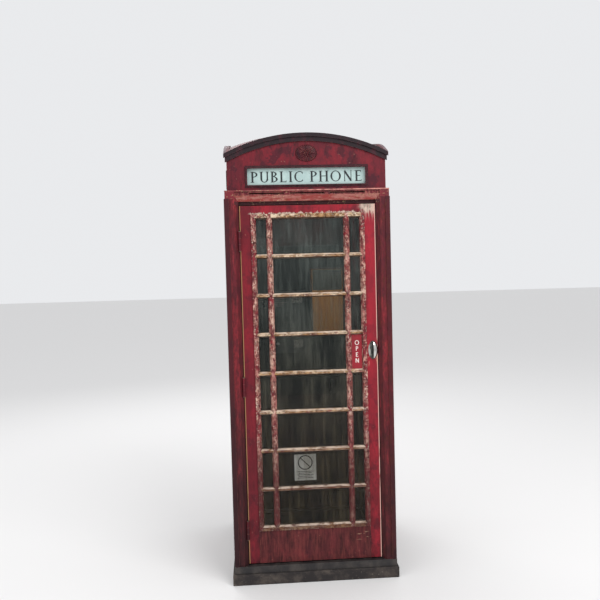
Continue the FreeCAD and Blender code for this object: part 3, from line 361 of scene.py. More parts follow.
def head_paint():
    """The lintel: warm faded splay, sooty ventilated band, a pale pink fillet that is partly worn paint and partly
    painted highlight, and painted shade in the recess over the door.
    """
    f = Finish("lintel_paint", Specular_IOR_Level=0.3)
    z = f.along("Z")
    between = f.below(f.from_middle("MINIMUM"), *BETWEEN_POSTS)
    tilt = f.facing("Z")
    splay = f.below(tilt, -0.3, -0.2) * f.step(tilt, -0.95, -0.9)
    band = f.step(z, *BAND_FOOT) * f.below(z, *FILLET_FOOT)
    fillet = f.step(z, *FILLET_FOOT)
    # Painted shade in the recess over the door.
    shaded_mouth = f.below(z, *MOUTH_TOP) * between * (1.0 - splay)
    f.colour = f.layer((116, 32, 42), (86, 28, 38), f.patches(0.4, 0.65, 14, 6, 1))
    warm = f.layer((150, 58, 55), (174, 110, 102), f.patches(0.42, 0.62, 36, 6, 2, (0.5, 0.5, 2)))
    warm = f.layer(warm, (110, 70, 40), f.patches(0.52, 0.66, 60, 5, 12) * 0.5)
    f.coat(warm, splay)
    blotch = f.patches(0.42, 0.58, 60, 7, 5, (1, 1, 0.7), 0.7)
    f.coat((46, 20, 28), band * between * blotch * 0.4)
    flecks = f.patches(0.46, 0.58, 80, 6, 9, (1, 1, 0.3), 0.7)
    f.coat((176, 92, 88), band * between * flecks * 0.6)
    pink = f.patches(0.36, 0.56, 34, 6, 7, rough=0.65)
    # Painted light: the fillet's highlight and the rubbed edges grow from the left towards the middle and right,
    # where the light falls.
    ends = f.step(f.along("X"), -0.36, 0.0, 0.15, 1.0)
    f.coat((196, 128, 120), fillet * ends * (0.25 + pink * 0.75))
    f.coat((58, 30, 32), shaded_mouth * 0.8)
    rub = f.edges(0.003) * f.patches(0.34, 0.55, 22, 6, 6, rough=0.65) * (1.0 - shaded_mouth) * ends
    f.coat((202, 152, 132), rub * 0.75)
    flake = f.patches(0.6, 0.63, 120, 5, 8, rough=0.7) * f.patches(0.4, 0.6, 8, 3, 2.5)
    f.coat(OLD_CREAM, flake * 0.8)
    relief = f.cloud(160, 4) * 0.4 - flake * 0.5
    return f.finish(0.45 + blotch * 0.15 + flake * 0.2, relief, 0.0012, 0.45)


def peeled_paint(name, cross):
    """Glazing bars whose red has mostly gone: old cream and pink undercoats, red flakes and bare dark specks, with
    painted shade under the bars, a painted highlight on their tops, and darker paint towards the ground that is
    partly grime and partly painted shade.
    """
    f = Finish(name, Specular_IOR_Level=0.25)
    run = (0.55, 1.0, 1.0) if cross else (1.0, 1.0, 0.6)
    low_down = f.below(f.along("Z"), 0.5, 1.0)
    tone = f.patches(0.42, 0.58, 16, 6, 2, run, 0.65)
    if cross:
        base = f.layer((176, 136, 92), (214, 192, 164), tone)
    else:
        base = f.layer((176, 112, 104), (206, 168, 150), tone)
    ochre = f.patches(0.45, 0.55, 58, 7, 6, run, 0.75)
    base = f.layer(base, (112, 74, 40) if cross else (118, 60, 54), ochre * 0.82)
    zone = f.patches(0.35, 0.65, 9, 4, 11, run) * 0.08
    rim = f.step(abs(f.along("X")), 0.281, 0.283) * 0.03
    rim = rim + f.below(f.along("X"), -0.19, -0.185) * f.step(f.along("Z"), 1.1, 1.6) * 0.04
    left = 0.62 if cross else 0.56
    red = f.step(f.cloud(62, 7, 3, run, 0.75) + zone + rim + low_down * 0.03, left, left + 0.03)
    f.colour = f.layer(base, f.layer((130, 34, 44), (92, 34, 38), ochre), red)
    speck = f.patches(0.545, 0.58, 80, 6, 1, rough=0.8)
    f.coat((46, 24, 22), speck * 0.8)
    light = f.patches(0.58, 0.62, 110, 5, 14, rough=0.75)
    f.coat((232, 214, 198), light * 0.7)
    # Darker towards the ground: partly grime, partly painted shade.
    f.coat((70, 34, 32), low_down * (0.66 + tone * 0.1))
    # Painted shade on the faces that look down.
    low = f.step(f.facing("Z"), -0.75, -0.2, 0.8, 0.0)
    f.coat((44, 26, 24), low)
    # Painted highlight on the faces that look up.
    top = f.step(f.facing("Z"), 0.25, 0.7) * f.patches(0.35, 0.55, 40, 4, 7, run)
    f.coat((230, 210, 192), top * 0.6)
    relief = red * 0.6 + f.cloud(150, 5) * 0.5 - speck * 0.4
    return f.finish(0.6 + tone * 0.1 - red * 0.12, relief, 0.0015, 0.8)


def old_glass(name, clear, card=None):
    """Window glass with a streaky film of dirt, greener at the top and browner and darker towards the ground, the
    darkening partly painted shade.

    card is the box of a card stuck inside, where the glass is clean: low x, high x, low z, high z.
    """
    f = Finish(name, Specular_IOR_Level=0.4, IOR=1.45)
    x, z = f.along("X"), f.along("Z")
    # Darker towards the ground, partly as painted shade.
    rise = f.step(z, 0.5, 2.0)
    streak = f.patches(0.42, 0.68, 46, 5, 3, (1.4, 1.4, 0.1), 0.7)
    haze = f.patches(0.42, 0.66, 8, 7, 5, (1, 1, 0.6), 0.65)
    clean = f.layer((20, 18, 14), (40, 49, 48), rise)
    dirty = f.layer((74, 64, 44), (88, 96, 92), rise)
    f.colour = f.layer(clean, dirty, streak * 0.5 + haze * 0.35)
    opaque = (1.0 - clear) + streak * 0.12 + haze * 0.1
    if card:
        low_x, high_x, low_z, high_z = card
        inside = f.within(x, low_x, high_x, 2 * MM) * f.within(z, low_z, high_z, 2 * MM)
        opaque = opaque * (1.0 - inside * 0.2)
    return f.finish(0.1 + streak * 0.3, Alpha=opaque)


def sign_opal():
    """White sign glass, darker along its upper and lower edges."""
    f = Finish("opal_sign_glass", Specular_IOR_Level=0.45)
    haze = f.patches(0.35, 0.7, 14, 6, 2)
    f.colour = f.layer((184, 206, 202), (162, 186, 184), haze)
    edge = f.step(abs(f.along("Z") - SIGN_HEIGHT), 0.034, 0.047)
    f.coat((110, 128, 122), edge * f.cloud(40, 6) * 0.9)
    spots = f.patches(0.66, 0.7, 160, 4, 4)
    f.coat((90, 100, 92), spots * 0.5)
    return f.finish(0.3 + haze * 0.2)


def plain_paint(name, base, worn, roughness=0.4, wear=0.5, grain=160.0, seed=0.0, relief=0.35):
    """Simple painted or moulded finish with tone changes, scuffs and rubbed edges."""
    f = Finish(name, Specular_IOR_Level=0.4)
    tone = f.patches(0.4, 0.68, 12, 6, seed, (1, 1, 0.7))
    scuff = f.patches(0.58, 0.68, 60, 7, seed + 4, (1, 1, 0.4), 0.7)
    f.colour = f.layer(base, worn, tone * 0.45 + scuff * 0.35)
    rub = f.edges(0.0015) * f.patches(0.4, 0.6, 40, 5, seed + 2)
    f.coat(worn, rub * wear)
    return f.finish(roughness + scuff * 0.2 + tone * 0.08, f.cloud(grain, 4), 0.0006, relief)


def metal(name, tone, roughness=0.16, grime=0.35, seed=0.0):
    """Plated or bare metal with finger marks and dull spots."""
    f = Finish(name, Metallic=1.0)
    smear = f.patches(0.42, 0.7, 30, 6, seed, (1, 1, 0.6), 0.65)
    pits = f.patches(0.64, 0.7, 260, 4, seed + 3, rough=0.7)
    f.colour = f.layer(tone, (70, 62, 54), pits * grime + smear * grime * 0.3)
    return f.finish(roughness + smear * 0.16 + pits * 0.3, f.cloud(180, 3), 0.0003, 0.25)


def handle_back():
    """The handle's back plate: darker in the middle as a painted dark reflection, and brighter along its outer
    edge as a painted highlight where hands rub it.
    """
    f = Finish("handle_back_painted_reflection", Metallic=1.0)
    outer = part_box("handle_plate")[0].x
    smear = f.patches(0.4, 0.6, 60, 6, 6, (1, 1, 0.6), 0.7)
    # Painted highlight along the outer edge. The dark middle is a painted dark reflection.
    edge_highlight = f.below(f.along("X") + smear * 0.006, outer + 0.008, outer + 0.016)
    f.colour = f.layer((66, 68, 66), (98, 98, 94), smear * 0.6)
    f.coat((204, 202, 196), edge_highlight * 0.85)
    return f.finish(0.26 + smear * 0.14, f.cloud(180, 3), 0.0003, 0.25)


def board_grain(name, light, dark, roughness=0.5, grain=(9.0, 9.0, 0.5), seed=0.0):
    """Wood with rings stretched along Z and scattered scratches."""
    f = Finish(name, Specular_IOR_Level=0.35)
    rings = f.cloud(6, 6, seed, grain, 0.6)
    f.colour = f.layer(dark, light, f.step(rings, 0.35, 0.65))
    pores = f.patches(0.55, 0.7, 40, 4, seed + 1, (grain[0] * 1.5, grain[1] * 1.5, grain[2] * 2))
    f.coat(dark, pores * 0.5)
    worn = f.patches(0.5, 0.75, 8, 6, seed + 6)
    f.coat(light, worn * 0.35)
    return f.finish(roughness + worn * 0.15, rings + pores * 0.5, 0.0005, 0.4)


def concrete():
    """Black paint worn through to the concrete."""
    f = Finish("black_painted_concrete", Specular_IOR_Level=0.3)
    wide = f.cloud(9, 8, 1, rough=0.7)
    f.colour = f.layer((44, 40, 40), (84, 76, 70), f.step(wide, 0.42, 0.68))
    bare = f.patches(0.6, 0.66, 70, 6, 4, rough=0.75) * f.patches(0.42, 0.6, 6, 3)
    rub = f.edges(0.004) * f.patches(0.38, 0.6, 20, 6)
    f.coat((142, 134, 122), bare * 0.7 + rub * 0.6)
    relief = f.cloud(240, 5) * 0.6 + wide * 0.6 - bare * 0.4
    return f.finish(0.7 + wide * 0.2, relief, 0.002, 0.6)


post_paint = red_paint("post_paint", (124, 34, 42), (92, 28, 38), 0.5, 0.2, 0.35, seed=1.0, extra=post_marks_and_shade)
fascia_paint = red_paint(
    "fascia_paint", (118, 29, 40), (93, 26, 37), 0.6, 0.7, 0.6, seed=5.0, streak=0.8, stains=0.8
)
# The sign frames are painted dark as painted shade: the shadow lines along the top and bottom of each sign.
shaded_frame_paint = red_paint("sign_frame_painted_shade", (66, 22, 32), (44, 20, 26), 0.8, 0.5, 0.9, seed=27.0)
door_paint = red_paint("door_paint", (152, 32, 46), (118, 26, 38), 0.3, 0.5, 0.9, seed=9.0, extra=door_marks_and_light)
rail_paint = red_paint(
    "bottom_rail_paint", (112, 40, 44), (94, 36, 40), 0.35, 0.35, 0.7, 0.5, 14.0, 0.9, rail_marks
)
panel_paint = red_paint("side_paint", (120, 32, 42), (84, 26, 36), 0.45, 0.3, 0.5, seed=21.0)
wall_paint = red_paint("back_paint", (120, 32, 42), (84, 26, 36), 0.45, 0.3, 0.5, seed=21.0, extra=inner_wall_shade)
rosette_paint = red_paint("rosette_paint", (84, 26, 34), (44, 18, 26), 0.9, 0.1, 1.0, seed=31.0)
hinge_paint = red_paint("hinge_paint", (104, 28, 38), (76, 26, 32), 0.6, 0.4, 0.9, seed=37.0)
lintel_paint = head_paint()
roof_paint = dark_moulding()
upright_paint = peeled_paint("upright_bar_paint", cross=False)
cross_paint = peeled_paint("cross_bar_paint", cross=True)
door_glass = old_glass("door_glass", 0.66, CARD)
side_glass = old_glass("side_glass", 0.55)
opal = sign_opal()
letter_black = plain_paint("letter_black", (24, 30, 34), (58, 66, 66), 0.45, 0.2)
letter_white = plain_paint("letter_white", (232, 222, 214), (200, 150, 144), 0.4, 0.2)
enamel_red = plain_paint("enamel_red", (150, 30, 42), (120, 28, 38), 0.22, 0.4, seed=3.0)
chrome = metal("polished_chrome", (206, 206, 202), 0.12)
nickel = metal("worn_nickel", (168, 164, 154), 0.25, 0.5, 4.0)
steel = metal("hinge_steel", (110, 100, 92), 0.4, 0.7, 8.0)
dull_metal = metal("dull_metal", (74, 76, 74), 0.3, 0.6, 6.0)
handle_back_painted_reflection = handle_back()
black_iron = plain_paint("black_iron", (34, 32, 33), (92, 84, 78), 0.45, 0.7, seed=6.0)
phone_grey = plain_paint("hammered_grey", (62, 66, 66), (92, 96, 94), 0.38, 0.5, 420.0, 2.0, 0.7)
bakelite = plain_paint("black_bakelite", (20, 20, 22), (60, 58, 56), 0.16, 0.35, seed=8.0)
dial_black = plain_paint("dial_black", (22, 22, 24), (50, 50, 50), 0.3, 0.3, seed=12.0)
ceiling_white = plain_paint("ceiling_white", (206, 200, 184), (164, 152, 130), 0.55, 0.2, seed=4.0)
backboard_finish = board_grain("backboard_finish", (40, 38, 36), (24, 23, 22), 0.45)
notice_finish = board_grain("notice_board_finish", (255, 196, 120), (232, 160, 84), 0.5, seed=3.0)
moulding_finish = board_grain("moulding_finish", (96, 58, 32), (58, 34, 20), 0.4, seed=9.0)
card_finish = plain_paint("card", (222, 222, 214), (196, 194, 182), 0.7, 0.2, seed=5.0)
sheet_grey = plain_paint("old_sheet", (112, 114, 104), (84, 86, 78), 0.7, 0.2, seed=6.0)
print_grey = plain_paint("print_grey", (58, 58, 56), (84, 82, 76), 0.7, 0.1, seed=7.0)
globe_white = plain_paint("globe_white", (232, 228, 216), (206, 198, 178), 0.2, 0.1, seed=9.0)
base_finish = concrete()


# ---- dressing the castings and boards


def dress(finish, *names, soften=0.0):
    """Give model nodes a finish and, where asked, softened edges."""
    for name in names:
        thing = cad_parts[name]
        thing.data.materials.clear()
        thing.data.materials.append(finish)
        if soften:
            round_edges(thing, soften)


def round_edges(thing, width):
    """Softens a piece's sharp edges without changing its mesh."""
    weld = thing.modifiers.new("weld", "WELD")
    weld.merge_threshold = 1e-5
    bevel = thing.modifiers.new("soft_edges", "BEVEL")
    bevel.width = width
    bevel.segments = 2
    bevel.limit_method = "ANGLE"
    bevel.angle_limit = math.radians(35)
    bevel.harden_normals = True


dress(base_finish, "base_slab", soften=4 * MM)
dress(black_iron, "sill_frame", soften=2 * MM)
dress(post_paint, *[f"corner_post_{corner}" for corner in CORNERS])
dress(lintel_paint, *[f"lintel_{side}" for side in SIDES])
dress(fascia_paint, *[f"pediment_{side}" for side in SIDES])
dress(shaded_frame_paint, "sign_frames", soften=1.2 * MM)
dress(opal, *[f"sign_glass_{side}" for side in SIDES])
dress(roof_paint, "roof_dome")
dress(ceiling_white, "ceiling_panel")
dress(hinge_paint, "hinge_door_leaves", "hinge_post_leaves")
dress(steel, "frame_bolts", "hinge_pins")
dress(panel_paint, "side_frame_left", "side_frame_right", soften=1.5 * MM)
dress(wall_paint, "back_panel", soften=1.5 * MM)
dress(side_glass, "side_panes_left", "side_panes_right")
dress(door_paint, "door_hinge_stile", "door_lock_stile", "door_top_rail", soften=1.5 * MM)
dress(rail_paint, "door_bottom_rail", soften=1.5 * MM)
dress(door_glass, "door_panes")
dress(enamel_red, "pull_plate")
dress(chrome, "handle_hood", "coin_button")
dress(dull_metal, "finger_wheel")
dress(handle_back_painted_reflection, "handle_plate")
dress(nickel, "coin_slot_plate", "refund_cup", "refund_flap", "hook_lever")
dress(backboard_finish, "backboard", "shelf", soften=1.5 * MM)
dress(notice_finish, "notice_board", soften=1 * MM)
dress(black_iron, "shelf_brackets", "lamp_base")
dress(globe_white, "lamp_globe")
dress(phone_grey, "phone_case", soften=2.5 * MM)
dress(phone_grey, "phone_cover")
dress(dial_black, "dial_plate")
dress(bakelite, "handset_caps")


# ---- mesh helpers


def piece(name, mesh, finishes, body):
    """A finished mesh in place, riding on its body."""
    thing = bpy.data.objects.new(name, mesh)
    bpy.context.scene.collection.objects.link(thing)
    for finish in finishes:
        mesh.materials.append(finish)
    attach(thing, body)
    return thing


def mesh_from(name, verts, faces, marks=None):
    mesh = bpy.data.meshes.new(name)
    mesh.from_pydata([tuple(v) for v in verts], [], faces)
    if marks:
        mesh.polygons.foreach_set("material_index", marks)
    mesh.update()
    return mesh


def turned(verts, side):
    spin = Matrix.Rotation(math.pi / 2 * side, 3, "Z")
    return [spin @ Vector(v) for v in verts]


def build(name, parts, finishes, body, side=FRONT):
    """One piece from (verts, faces, number of its finish) parts, on one side of the booth."""
    verts, faces, marks = [], [], []
    for v, f, mark in parts:
        faces.extend(tuple(i + len(verts) for i in face) for face in f)
        verts.extend(v)
        marks.extend([mark] * len(f))
    return piece(name, mesh_from(name, turned(verts, side), faces, marks), finishes, body)


def smooth(mesh):
    mesh.polygons.foreach_set("use_smooth", [True] * len(mesh.polygons))


def middle(node):
    """The middle of a model node's box."""
    low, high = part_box(node)
    return (low + high) / 2


# Outlines are flat lists of (across, up) corners.


def box_shape(x0, x1, z0, z1):
    return [(x0, z0), (x1, z0), (x1, z1), (x0, z1)]


def border(x0, x1, z0, z1, wide):
    """Four rails along the inside of a box's edges."""
    return [
        box_shape(x0, x1, z0, z0 + wide),
        box_shape(x0, x1, z1 - wide, z1),
        box_shape(x0, x0 + wide, z0, z1),
        box_shape(x1 - wide, x1, z0, z1),
    ]


def disc(cx, cz, radius, start=0.0, stop=360.0, steps=20):
    """A round outline, or a segment of one with its straight side between the two ends."""
    count = steps if stop - start >= 360 else steps + 1
    angles = [math.radians(start + (stop - start) * i / steps) for i in range(count)]
    return [(cx + radius * math.cos(a), cz + radius * math.sin(a)) for a in angles]


# ---- glazing frames


def glazing(name, side, body, node):
    """One frame with sloped putty fillets round every pane. Cross bars and uprights get their own finish."""
    rows = [(CLEAR_LOW + ROW_PITCH * r, CLEAR_LOW + ROW_PITCH * r + PANE_TALL) for r in range(ROWS)]
    verts, faces, marks = [], [], []
    upright, cross = 0, 1

    def quad(points, mark):
        start = len(verts)
        verts.extend(points)
        faces.append(tuple(range(start, start + 4)))
        marks.append(mark)

    def face(y, grow, flip):
        """Front or back face: everything but the panes, which are widened by the fillet."""
        xs = [-WINDOW_HALF] + [v for a, b in COLUMNS for v in (a - grow, b + grow)] + [WINDOW_HALF]
        zs = [WINDOW_LOW] + [v for a, b in rows for v in (a - grow, b + grow)] + [WINDOW_TOP]
        for i in range(len(xs) - 1):
            for k in range(len(zs) - 1):
                if i % 2 == 1 and k % 2 == 1:
                    continue
                points = [(x, y, z) for x, z in box_shape(xs[i], xs[i + 1], zs[k], zs[k + 1])]
                quad(points[::-1] if flip else points, cross if k % 2 == 0 and i % 2 == 1 else upright)

    def strip(outer, y0, inner, y1, level):
        """Four faces between two boxes. Those below and above take the finish called level."""
        for i in range(4):
            j = (i + 1) % 4
            corners = ((inner[i], y1), (inner[j], y1), (outer[j], y0), (outer[i], y0))
            quad([(x, y, z) for (x, z), y in corners], level if i % 2 == 0 else upright)

    face(GLAZING_FACE, PUTTY_WIDE, False)
    face(GLAZING_BACK, 0.0, True)
    for a, b in COLUMNS:
        for c, d in rows:
            inner = box_shape(a, b, c, d)
            for y0, y1, grow in ((GLAZING_FACE, PUTTY_FACE, PUTTY_WIDE), (PUTTY_FACE, GLAZING_BACK, 0.0)):
                strip(box_shape(a - grow, b + grow, c - grow, d + grow), y0, inner, y1, cross)
    rim = box_shape(-WINDOW_HALF, WINDOW_HALF, WINDOW_LOW, WINDOW_TOP)
    strip(rim, GLAZING_FACE, rim, GLAZING_BACK, upright)
    mesh = mesh_from(name, turned(verts, side), faces, marks)
    thing = piece(name, mesh, (upright_paint, cross_paint), body)
    round_edges(thing, 1.2 * MM)
    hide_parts(node)


glazing("door_glazing_bars", FRONT, "door", "door_glazing")
glazing("right_glazing_bars", RIGHT, "booth", "side_glazing_right")
glazing("left_glazing_bars", LEFT, "booth", "side_glazing_left")


# ---- lettering

# Strokes of a capital one unit high, and how far raised work is let into what carries it.
STEM = 0.17
HAIR = 0.065
SERIF = 0.045
SUNK = 0.2 * MM


def bar(x0, y0, x1, y1, width):
    """A straight stroke as four corners."""
    run = Vector((x1 - x0, y1 - y0))
    side = Vector((-run.y, run.x)).normalized() * (width / 2)
    corners = ((x0, y0, -1), (x1, y1, -1), (x1, y1, 1), (x0, y0, 1))
    return [(x + sign * side.x, y + sign * side.y) for x, y, sign in corners]


def bowl(cx, cy, rx, ry, start, stop, thick, thin, steps=20):
    """A curved stroke, thick where it runs upright and thin where it runs level."""
    angles = [math.radians(start + (stop - start) * i / steps) for i in range(steps + 1)]

    def rim(angle, sign):
        width = thin + (thick - thin) * abs(math.cos(angle)) ** 1.4
        return (cx + (rx + sign * width / 2) * math.cos(angle), cy + (ry + sign * thin / 2) * math.sin(angle))

    return [[rim(a, -1), rim(a, 1), rim(b, 1), rim(b, -1)] for a, b in zip(angles, angles[1:])]


def stem(x, thick, feet, low=0.0):
    """An upright with serifs at its ends. One that starts above the line has none at its foot."""
    shapes = [bar(x, low, x, 1.0, thick)]
    if feet:
        for y in (1 - SERIF / 2,) if low else (SERIF / 2, 1 - SERIF / 2):
            shapes.append(bar(x - thick * 0.95, y, x + thick * 0.95, y, SERIF))
    return shapes


def tips(cx, rx, ry, angle):
    """Small upright ends on the C, at an angle above and below level."""
    x, reach = cx + rx * math.cos(math.radians(angle)), ry * math.sin(math.radians(angle))
    upper, lower = 0.5 + reach, 0.5 - reach
    return [bar(x, upper - 0.1, x, upper + 0.08, SERIF), bar(x, lower - 0.06, x, lower + 0.08, SERIF)]


def letter(sign, plain=False):
    """Strokes of one capital, one unit high, and its width."""
    thick, thin = (0.17, 0.15) if plain else (STEM, HAIR)
    feet = not plain
    left = thick * 0.95 if feet else thick / 2
    tip = 0.0 if plain else 0.05
    top, bottom = 1 - thin / 2, thin / 2
    post = stem(left, thick, feet)

    def arm(y, length, hook):
        shapes = [bar(left, y, left + length, y, thin)]
        if hook and feet:
            end = left + length - SERIF / 2
            shapes.append(bar(end, y - hook * 0.01, end, y + hook * 0.13, SERIF))
        return shapes

    def lobe(y, wide, tall):
        return bowl(left, y, wide, tall, -90, 90, thick, thin)

    if sign == "P":
        return post + lobe(0.735, 0.40, 0.235), left + 0.47
    if sign == "B":
        return post + lobe(0.76, 0.34, 0.21) + lobe(0.285, 0.42, 0.255), left + 0.49
    if sign == "U":
        right = left + 0.56
        curve = bowl((left + right) / 2, 0.32, 0.28, 0.29, 180, 360, thick, thin)
        return stem(left, thick, feet, 0.3) + stem(right, thick * 0.75, feet, 0.3) + curve, right + 0.1
    if sign == "L":
        return post + arm(bottom, 0.46, 1), left + 0.5
    if sign == "I":
        return post, left * 2
    if sign == "C":
        return bowl(0.48, 0.5, 0.41, 0.47, 48, 312, thick, thin, 28) + tips(0.48, 0.41, 0.47, 48), 0.84
    if sign == "O":
        return bowl(0.48, 0.5, 0.41, 0.47, 0, 360, thick, thin, 36), 0.97
    if sign == "H":
        right = left + 0.58
        return post + stem(right, thick, feet) + [bar(left, 0.52, right, 0.52, thin)], right + left
    if sign == "N":
        right = left + 0.60
        post_wide = thin if feet else thick
        posts = stem(left, post_wide, feet) + stem(right, post_wide, feet)
        return posts + [bar(left, 1 - tip, right, tip, thick)], right + left
    if sign == "E":
        return post + arm(bottom, 0.46, 1) + arm(0.52, 0.34, 0) + arm(top, 0.42, -1), left + 0.5
    raise ValueError(sign)


def raised(shapes, size, x, y, z, thickness, sunk=0.0, mark=0):
    """Joins flat strokes into one plate that stands towards -Y, from the corner (x, z) on the plane y."""
    outlines, start = [], 0
    for shape in shapes:
        outlines.append(list(range(start, start + len(shape))))
        start += len(shape)
    flat = [Vector(point) for shape in shapes for point in shape]
    points, _, tiles, _, _, owners = delaunay_2d_cdt(flat, [], outlines, 1, 1e-6)
    tiles = [tuple(tile) for tile, owner in zip(tiles, owners) if owner]
    sides = {(a, b) for tile in tiles for a, b in zip(tile, tile[1:] + tile[:1])}
    rim = [(a, b) for a, b in sorted(sides) if (b, a) not in sides]
    count = len(points)
    verts = [(x + p.x * size, y - thickness, z + p.y * size) for p in points]
    verts += [(x + p.x * size, y + sunk, z + p.y * size) for p in points]
    faces = tiles + [tuple(i + count for i in reversed(tile)) for tile in tiles]
    faces += [(b, a, a + count, b + count) for a, b in rim]
    return verts, faces, mark


def plate(shapes, y, thickness, sunk=0.0, mark=0):
    """Strokes or outlines already in place, raised from the plane y."""
    return raised(shapes, 1.0, 0.0, y, 0.0, thickness, sunk, mark)


def printed(x0, x1, z0, z1, y, thick, lines, ink=0.15 * MM, sunk=SUNK):
    """A sheet on the plane y and the print on it, which takes the second finish."""
    return [plate([box_shape(x0, x1, z0, z1)], y, thick, sunk), plate(lines, y - thick, ink, mark=1)]


def line_of_letters(text, size, gap, y, middle_z, thickness):
    """A centred line of capitals on the plane y."""
    parts, x = [], 0.0
    for sign in text:
        if sign == " ":
            x += 0.42 * size
            continue
        shapes, wide = letter(sign)
        parts.append((shapes, x))
        x += wide * size + gap
    x -= gap
    low = middle_z - size / 2
    return [raised(shapes, size, start - x / 2, y, low, thickness, SUNK) for shapes, start in parts]


sign_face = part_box("sign_glass_front")[0].y
sign_middle = middle("sign_glass_front").z - 1 * MM
sign_words = line_of_letters("PUBLIC PHONE", 58 * MM, 11.5 * MM, sign_face, sign_middle, 0.6 * MM)
for side, word in enumerate(SIDES):
    build(f"sign_letters_{word}", sign_words, (letter_black,), "booth", side)


def pull_letters():
    """Four plain capitals, one under the other, on the enamel plate."""
    size, pitch = 24 * MM, 33 * MM
    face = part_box("pull_plate")[0].y
    centre = middle("pull_plate")
    x, top = centre.x + 1 * MM, centre.z + pitch * 1.5 - size / 2
    parts = []
    for i, sign in enumerate("OPEN"):
        shapes, wide = letter(sign, plain=True)
        parts.append(raised(shapes, size, x - wide * size / 2, face, top - pitch * i, 0.5 * MM, SUNK))
    build("pull_letters", parts, (letter_white,), "door")


pull_letters()


# ---- cast rosettes


def add_egg(bm, centre, sizes, tilt=0.0, across=10, around=8):
    """One rounded lump of the casting, turned in the plane of the fascia."""
    place = Matrix.Translation(centre) @ Matrix.Rotation(-tilt, 4, "Y") @ Matrix.Diagonal((*sizes, 1))
    bmesh.ops.create_uvsphere(bm, u_segments=across, v_segments=around, radius=1.0, matrix=place)


def rosettes():
    """An oval boss with a beaded rim, two rings of petals and a raised eye, the same on all four sides."""
    centre = middle("rosettes").z
    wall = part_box("pediment_front")[0].y
    wide, tall = 56 * MM, 43 * MM
    beads, petals = 30, 8
    rings = ((0.60, 15 * MM, 7.5 * MM), (0.34, 10 * MM, 10.5 * MM))
    bm = bmesh.new()
    add_egg(bm, (0, wall, centre), (wide, 5 * MM, tall), 0.0, 40, 20)
    for i in range(beads):
        a = 2 * math.pi * i / beads
        x, z = (wide - 1 * MM) * math.cos(a), (tall - 1 * MM) * math.sin(a)
        add_egg(bm, (x, wall - 1 * MM, centre + z), (4.4 * MM, 5 * MM, 4.4 * MM))
    for ring, (reach, long, proud) in enumerate(rings):
        for i in range(petals):
            a = 2 * math.pi * (i + 0.5 * ring) / petals
            x, z = wide * reach * math.cos(a), tall * reach * math.sin(a)
            add_egg(bm, (x, wall - 1.5 * MM, centre + z), (long, proud, 6.2 * MM), math.atan2(z, x), 14, 10)
    add_egg(bm, (0, wall - 3 * MM, centre), (8 * MM, 10 * MM, 7 * MM), 0.0, 18, 12)
    hidden = [f for f in bm.faces if f.calc_center_median().y > wall + 0.5 * MM]
    bmesh.ops.delete(bm, geom=hidden, context="FACES")
    one = [v.co.copy() for v in bm.verts]
    bm.verts.index_update()
    shape = [tuple(v.index for v in f.verts) for f in bm.faces]
    bm.free()
    parts = [(turned(one, side), shape, 0) for side in range(4)]
    thing = build("cast_rosettes", parts, (rosette_paint,), "booth")
    smooth(thing.data)
    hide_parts("rosettes")


rosettes()


# ---- notice card inside the door's glass


def notice_card():
    """A plain card with a barred ring over a few grey lines, behind the seventh row's wide pane."""
    x0, x1, z0, z1 = CARD
    thick = 0.5 * MM
    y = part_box("door_panes")[1].y + thick + 0.6 * MM
    x, z = (x0 + x1) / 2, z1 - 46 * MM
    radius, slant = 38 * MM, 25 * MM
    lines = bowl(x, z, radius, radius, 0, 360, 6 * MM, 6 * MM, 40)
    lines.append(bar(x - slant, z + slant, x + slant, z - slant, 5 * MM))
    for i in range(5):
        half = (44 - 7 * (i % 2)) * MM
        z = z0 + 14 * MM + i * 9 * MM
        lines.append(bar(x - half, z, x + half, z, 3 * MM))
    parts = printed(*CARD, y, thick, lines, 0.3 * MM, 0.0)
    build("notice_card", parts, (card_finish, print_grey), "door")


notice_card()


# ---- telephone and board details


def digit(sign):
    """Strokes of one figure of the dial, one unit high and 0.6 wide."""
    wide = 0.15

    def line(x0, y0, x1, y1, width=wide):
        return [bar(x0, y0, x1, y1, width)]

    def loop(cx, cy, rx, ry, start=0, stop=360):
        return bowl(cx, cy, rx, ry, start, stop, wide, wide)

    return {
        "1": line(0.3, 0, 0.3, 1) + line(0.3, 0.94, 0.12, 0.76, wide * 0.8),
        "2": loop(0.3, 0.72, 0.22, 0.22, -10, 180) + line(0.5, 0.68, 0.1, 0.08) + line(0.04, 0.07, 0.56, 0.07),
        "3": loop(0.28, 0.74, 0.21, 0.2, -90, 150) + loop(0.28, 0.28, 0.24, 0.22, -150, 90),
        "4": line(0.42, 0, 0.42, 1) + line(0.42, 0.96, 0.06, 0.3) + line(0, 0.3, 0.6, 0.3),
        "5": line(0.54, 0.93, 0.1, 0.93) + line(0.15, 0.93, 0.12, 0.5) + loop(0.28, 0.32, 0.25, 0.25, -150, 120),
        "6": loop(0.3, 0.3, 0.23, 0.24) + line(0.1, 0.38, 0.38, 0.97),
        "7": line(0.04, 0.93, 0.58, 0.93) + line(0.54, 0.95, 0.22, 0),
        "8": loop(0.3, 0.75, 0.19, 0.18) + loop(0.3, 0.28, 0.24, 0.22),
        "9": loop(0.3, 0.7, 0.23, 0.24) + line(0.5, 0.62, 0.22, 0.03),
        "0": loop(0.3, 0.5, 0.24, 0.44),
    }[sign]


DIAL_STEP = 30
HOLE_CIRCLE = 28 * MM


def dial_figures():
    """Figures 1 to 9 and 0, anticlockwise, each under its finger hole."""
    centre = middle("finger_wheel")
    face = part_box("finger_wheel")[1].y + 1 * MM
    size = 7 * MM
    parts = []
    for i, sign in enumerate("1234567890"):
        a = math.radians(DIAL_STEP * (i + 1))
        x = centre.x + HOLE_CIRCLE * math.cos(a) - 0.3 * size
        z = centre.z + HOLE_CIRCLE * math.sin(a) - 0.5 * size
        parts.append(raised(digit(sign), size, x, face, z, 0.25 * MM, SUNK))
    build("dial_figures", parts, (letter_white,), "booth")


dial_figures()


